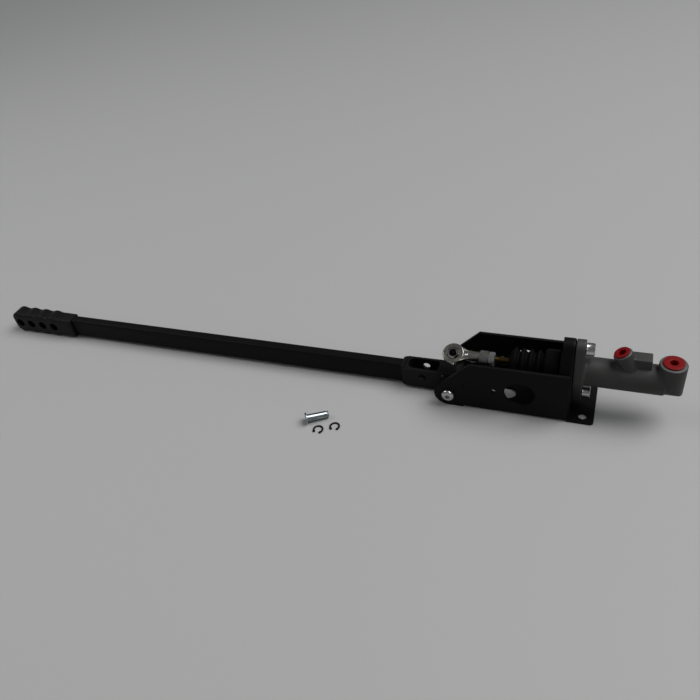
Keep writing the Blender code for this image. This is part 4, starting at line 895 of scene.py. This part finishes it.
face = -WALL_FACE - GAP
crown = [(face - 0.0044, 0.0)]
for u, v in arc((0, 0), 1.0, pi / 2, 0, 12):
    crown.append((face - 0.0044 + 0.0031 * (1 - v), 0.0038 + 0.0032 * u))
crown += [(face, 0.007), (face, 0.0)]
recess = extruded(hexagon(0.005), face - 0.0054, face - 0.0018)
bolt = combined(spun(crown, 72, soft=0), recess, "DIFFERENCE")
shank = [(face - 0.0004, 0.0), (face - 0.0004, M8), (0.0263, M8), (0.0263, 0.0)]
bolt = combined(bolt, spun(shank, 80, soft=0), "UNION")
tip = WALL_FACE + WASHER_THICKNESS + NUT_HEIGHT + 0.002 + 3 * GAP
bolt = combined(bolt, threaded(0.0255, tip), "UNION")
bolt.transform(Matrix.Translation(PIVOT) @ axis_matrix(ACROSS))
add_piece("dome_bolt", bolt, ZINC, "pivot_bolt")

near, far = WALL_FACE + GAP, WALL_FACE + GAP + WASHER_THICKNESS
washer = [(near, M8_ROOM), (near, 0.008), (far, 0.008), (far, M8_ROOM)]
add_piece("bolt_washer", spun(washer, 72, True, PIVOT, ACROSS, 0.0002), ZINC, "pivot_washer")
seat = far + GAP
nut = hex_nut(NUT_FLATS, seat, seat + NUT_HEIGHT, PIVOT, ACROSS)
add_piece("bolt_nut", nut, ZINC, "pivot_nut")
print("pivot bolt:", round((tip - face) * 1000, 1), "mm under its head")

# %% [markdown]
# ## Rod end
#
# The rod end is forged and then machined: an eye with chamfered rims, a neck and a hexagon, with
# a web that carries the eye's flanks into the neck. A polished ball swivels in it. Subdivision
# would give the forged look but blur the machined rims, so the parts are joined by booleans.
# All of it is modelled upright and then laid over about the rod's own axis.

# %% Forged eye with its neck and hexagon
ROLL = radians(66)
LAID_OVER = Matrix.Translation(EYE) @ Matrix.Rotation(-ROLL, 4, "X") @ Matrix.Translation(-EYE)
ALONG = (1, 0, 0)
ROD_END_X = EYE.x + 0.0373
HEX_X = ROD_END_X - 0.0092
THREAD_ROOM_X = ROD_END_X - 0.018
EYE_RADIUS, EYE_HALF, EYE_CHAMFER = 0.0116, 0.0043, 0.0009
WEB_END, WEB_HALF = 0.0165, 0.0047

flank = EYE_RADIUS - EYE_CHAMFER
eye = [(-EYE_HALF, 0.0), (-EYE_HALF, flank), (EYE_CHAMFER - EYE_HALF, EYE_RADIUS)]
eye += [(EYE_HALF - EYE_CHAMFER, EYE_RADIUS), (EYE_HALF, flank), (EYE_HALF, 0.0)]
housing = spun(eye, 96, False, EYE, ACROSS, 0.0003)

neck = [(EYE.x, 0.0), (EYE.x, EYE_HALF - 0.0004), (EYE.x + 0.0102, EYE_HALF - 0.0001)]
for t in (0, 0.25, 0.5, 0.75, 1):
    neck.append((EYE.x + 0.0118 + 0.0048 * t, EYE_HALF + 0.0018 * t * t * (3 - 2 * t)))
neck += [(HEX_X + 0.001, 0.0061), (HEX_X + 0.001, 0.0)]
housing = combined(housing, spun(neck, 72, at=CYLINDER_START, soft=0), "UNION")

# %% Web, hexagon and bores
lean = pi / 2 - acos((EYE_RADIUS - WEB_HALF) / hypot(WEB_END, WEB_HALF))
outline = [(WEB_END, WEB_HALF)]
outline += arc((0.0, 0.0), EYE_RADIUS - 0.0003, pi / 2 - lean, pi / 2 + 0.4, 8)
outline += [(u, -v) for u, v in reversed(outline)]
web = extruded(outline, -0.0040, 0.0040, 0.0015)
web.transform(Matrix(((0, 1, 0, EYE.x), (1, 0, 0, 0), (0, 0, 1, EYE.z), (0, 0, 0, 1))))
bmesh.ops.recalc_face_normals(web, faces=web.faces)
housing = combined(housing, web, "UNION")
hexagon_end = hex_nut(0.0138, HEX_X, ROD_END_X, CYLINDER_START, ALONG)
housing = combined(housing, hexagon_end, "UNION")
bore = [(-0.006, 0.0), (-0.006, 0.0092), (0.006, 0.0092), (0.006, 0.0)]
housing = combined(housing, spun(bore, 96, False, EYE, ACROSS, 0), "DIFFERENCE")
bore = [(THREAD_ROOM_X, 0.0), (THREAD_ROOM_X, M8_ROOM), (ROD_END_X + 0.001, M8_ROOM)]
bore += [(ROD_END_X + 0.001, 0.0)]
housing = combined(housing, spun(bore, 64, at=CYLINDER_START, soft=0), "DIFFERENCE")
housing.transform(LAID_OVER)
add_piece("eye_housing", housing, WARM_ZINC, "rod_end_housing")
print("eye:", round(EYE_RADIUS * 2000, 1), "mm across")


# %% Liner and ball
def ball_arc(radius, half_width, steps):
    limit = asin(half_width / radius)
    return [(u, v) for v, u in arc((0, 0), radius, limit, -limit, steps)]


liner = ball_arc(0.0081, 0.0039, 10) + [(-0.0039, 0.0089), (0.0039, 0.0089)]
ball = ball_arc(0.0078, 0.0058, 24)
ball += [(-0.0058, 0.0046), (-0.0054, 0.00415), (0.0054, 0.00415), (0.0058, 0.0046)]
bm = spun(liner, 96, True, EYE, ACROSS, 0)
bm.transform(LAID_OVER)
add_piece("eye_liner", bm, WARM_ZINC, "rod_end_race")
bm = spun(ball, 96, True, EYE, ACROSS, 0)
bm.transform(LAID_OVER)
add_piece("eye_ball", bm, CHROME, "rod_end_ball", 25)
print("ball: turned from", len(ball), "points")

# %% [markdown]
# ## Pushrod and lock nut
#
# The pushrod is plated yellow. It is threaded where the rod end and its lock nut sit, and has a
# shoulder and a round tip where it pushes on the piston. The thread is the same rolled grid as
# on the bolts, joined to a spun plain part.

# %% Lock nut and pushrod
seat = ROD_END_X + GAP
bm = hex_nut(NUT_FLATS, seat, seat + NUT_HEIGHT, CYLINDER_START, ALONG)
bm.transform(LAID_OVER)
add_piece("lock_nut", bm, ZINC, "jam_nut")

PISTON_X = -0.0402 + 0.0018 + 0.0012 + GAP + 0.0014 + GAP
SHOULDER = PISTON_X + 0.003
THREAD_END = ROD_END_X + 0.0105
bm = threaded(THREAD_ROOM_X + GAP, THREAD_END + 0.0004, depth=0.0005)
plain = [(THREAD_END, 0.0), (THREAD_END, M8), (PISTON_X, M8), (PISTON_X, 0.0064)]
plain += [(SHOULDER, 0.0064), (SHOULDER, M8)]
plain += arc((SHOULDER + 0.002, 0.0), M8, pi / 2, 0, 12)
bm = combined(bm, spun(plain, 64, soft=0.0002), "UNION")
bm.transform(Matrix.Translation(CYLINDER_START))
bm.transform(LAID_OVER)
add_piece("push_rod", bm, YELLOW_ZINC, "pushrod")
print("pushrod: threaded up to", round(THREAD_END * 1000, 1), "mm")

# %% [markdown]
# ## Dust boot
#
# The bellows is a thin rubber sleeve: four ridges, a collar that grips the nose of the cylinder
# and a lip round the rod. When the rod goes in, the bellows folds up towards the collar. It
# could be cut in rings that ride apart, but rubber stays in one piece, so here it is one piece
# that rides on no body.

# %% Bellows
COLLAR_END = -0.0272
COLLAR_X = COLLAR_END - 0.0151
COLLAR_RADIUS, COLLAR_ROUND, COLLAR_BORE = 0.018, 0.002, 0.0153
RIDGE_X = COLLAR_X - 0.0060
PITCH, RIDGES = 0.008, 4
BELLOWS_X = RIDGE_X - (RIDGES - 0.5) * PITCH
LIP_X = BELLOWS_X - 0.0024
RUBBER_WALL = 0.0014


def bellows(x):
    wave = (1 + cos(2 * pi * (x - RIDGE_X) / PITCH)) / 2
    return 0.0118 + 0.0038 * wave


count = int((COLLAR_X - BELLOWS_X) / PITCH * 16)
steps = [BELLOWS_X + (COLLAR_X - BELLOWS_X) * k / count for k in range(count + 1)]
skin = [(LIP_X, M8_ROOM), (LIP_X + 0.0002, 0.0064), (LIP_X + 0.0007, 0.0066)]
skin += [(BELLOWS_X - 0.0014, 0.0066)]
skin += [(x, bellows(x)) for x in steps]
corner = COLLAR_RADIUS - COLLAR_ROUND
skin += arc((COLLAR_X + COLLAR_ROUND, corner), COLLAR_ROUND, pi, pi / 2, 6)
skin += arc((COLLAR_END - COLLAR_ROUND, corner), COLLAR_ROUND, pi / 2, 0, 6)
skin += [(COLLAR_END, COLLAR_BORE), (-0.0405, COLLAR_BORE)]
skin += [(-0.0405, bellows(COLLAR_X) - RUBBER_WALL)]
skin += [(x, bellows(x) - RUBBER_WALL) for x in reversed(steps) if x > BELLOWS_X + 0.0016]
skin += [(BELLOWS_X + 0.0008, M8_ROOM)]
sleeve = spun(skin, 96, True, CYLINDER_START, soft=0)
boot = add_piece("bellows_boot", sleeve, RUBBER, "dust_boot", 60, rides=False)
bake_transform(boot)
print("boot:", RIDGES, "ridges,", len(boot.data.polygons), "faces")

# %% [markdown]
# ## Loose pin and clips
#
# The clevis pin is turned, with a thin head and a groove for a clip. It lies on the rim of its
# head and on its tip, so it is tilted by the angle that those two give. The two clips are
# stamped from spring steel: an open ring whose ends swell into small ears.

# %% Clevis pin
PIN_HEAD, PIN_HEAD_RADIUS = 0.0016, 0.0063
PIN_TIP = PIN_HEAD + 0.0245
GROOVE_WIDTH, GROOVE_RADIUS = 0.0012, 0.0032
groove = PIN_TIP - 0.0012 - GROOVE_WIDTH
pin = [(0.0, 0.0), (0.0, PIN_HEAD_RADIUS), (PIN_HEAD, PIN_HEAD_RADIUS), (PIN_HEAD, M8)]
pin += [(groove, M8), (groove, GROOVE_RADIUS), (groove + GROOVE_WIDTH, GROOVE_RADIUS)]
pin += [(groove + GROOVE_WIDTH, M8), (PIN_TIP - 0.0006, M8)]
pin += [(PIN_TIP, 0.0034), (PIN_TIP, 0.0)]
tilt = atan2(PIN_HEAD_RADIUS - M8, PIN_TIP - 0.0006 - PIN_HEAD)
heading = radians(33)
way = Vector((cos(heading) * cos(tilt), sin(heading) * cos(tilt), -sin(tilt)))
rest_height = PIN_HEAD_RADIUS * cos(tilt) + PIN_HEAD * sin(tilt)
rest = Vector((PIVOT.x - 0.1457, -0.0872, rest_height))
solid = spun(pin, 96, False, rest, way, 0.00025)
add_piece("loose_pin", solid, BLUE_ZINC, "clevis_pin")
print("pin: tilted by", round(degrees(tilt), 1), "degrees")

# %% Snap clips
CLIP_RADIUS, CLIP_BAND, CLIP_EAR, HALF_GAP = 0.0059, 0.0019, 0.0015, radians(46)
CLIP_THICKNESS, CLIP_EDGE = 0.0009, 0.00012
for node, x, y, gap_angle in (
    ("clip_a", -0.1286, -0.0944, radians(267)),
    ("clip_b", -0.1123, -0.0863, radians(278)),
):
    outline = arc((0, 0), CLIP_RADIUS, HALF_GAP, 2 * pi - HALF_GAP, 72)
    outline += arc((0, 0), CLIP_RADIUS - CLIP_BAND, 2 * pi - HALF_GAP, HALF_GAP, 72)
    clip = extruded(outline, 0.0, CLIP_THICKNESS, CLIP_EDGE)
    middle = CLIP_RADIUS - CLIP_BAND / 2
    for side in (-1, 1):
        place = (middle * cos(HALF_GAP), side * middle * sin(HALF_GAP))
        ear = extruded(arc(place, CLIP_EAR, 0, 2 * pi, 32)[:-1], 0.0, CLIP_THICKNESS, CLIP_EDGE)
        clip = combined(clip, ear, "UNION")
    clip.transform(axis_matrix((0, 0, 1)))
    turned = Matrix.Rotation(gap_angle - pi / 2, 4, "Z")
    clip.transform(Matrix.Translation((PIVOT.x + x, y, 0)) @ turned)
    add_piece("snap_" + node, clip, BLACK_STEEL, node, 30)
print("clips: 2, opening", round(degrees(2 * HALF_GAP)), "degrees")

# %% [markdown]
# ## Inside the cylinder
#
# The spring sits between the piston and the end of the bore, and pushes the piston back. As the
# rod goes in, the spring gets shorter. Bending each coil would take a rig. Here the spring is a
# merged copy of the measured one, with a mesh of its own.

# %% Return spring
coil = dressed("coil_spring", "return_spring", STEEL, 0.0)
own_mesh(coil)

# %% [markdown]
# ## Small pieces whose measured shape is already right
#
# The rest hardly shows, and nothing about its shape needs a copy. These pieces stay as they were
# measured, and only their material slots are given one of the finishes above.

# %% Finishes on the measured meshes
AS_MEASURED = {
    "circlip": BLACK_STEEL,
    "retaining_washer": STEEL,
    "set_screw": ZINC,
    "piston": CLEAR_ANODISED,
    "primary_seal": RUBBER,
    "secondary_seal": RUBBER,
}
for node, material in AS_MEASURED.items():
    data = frame["nodes"][node].data
    data.materials.clear()
    data.materials.append(material)
print("finished as measured:", sorted(AS_MEASURED))
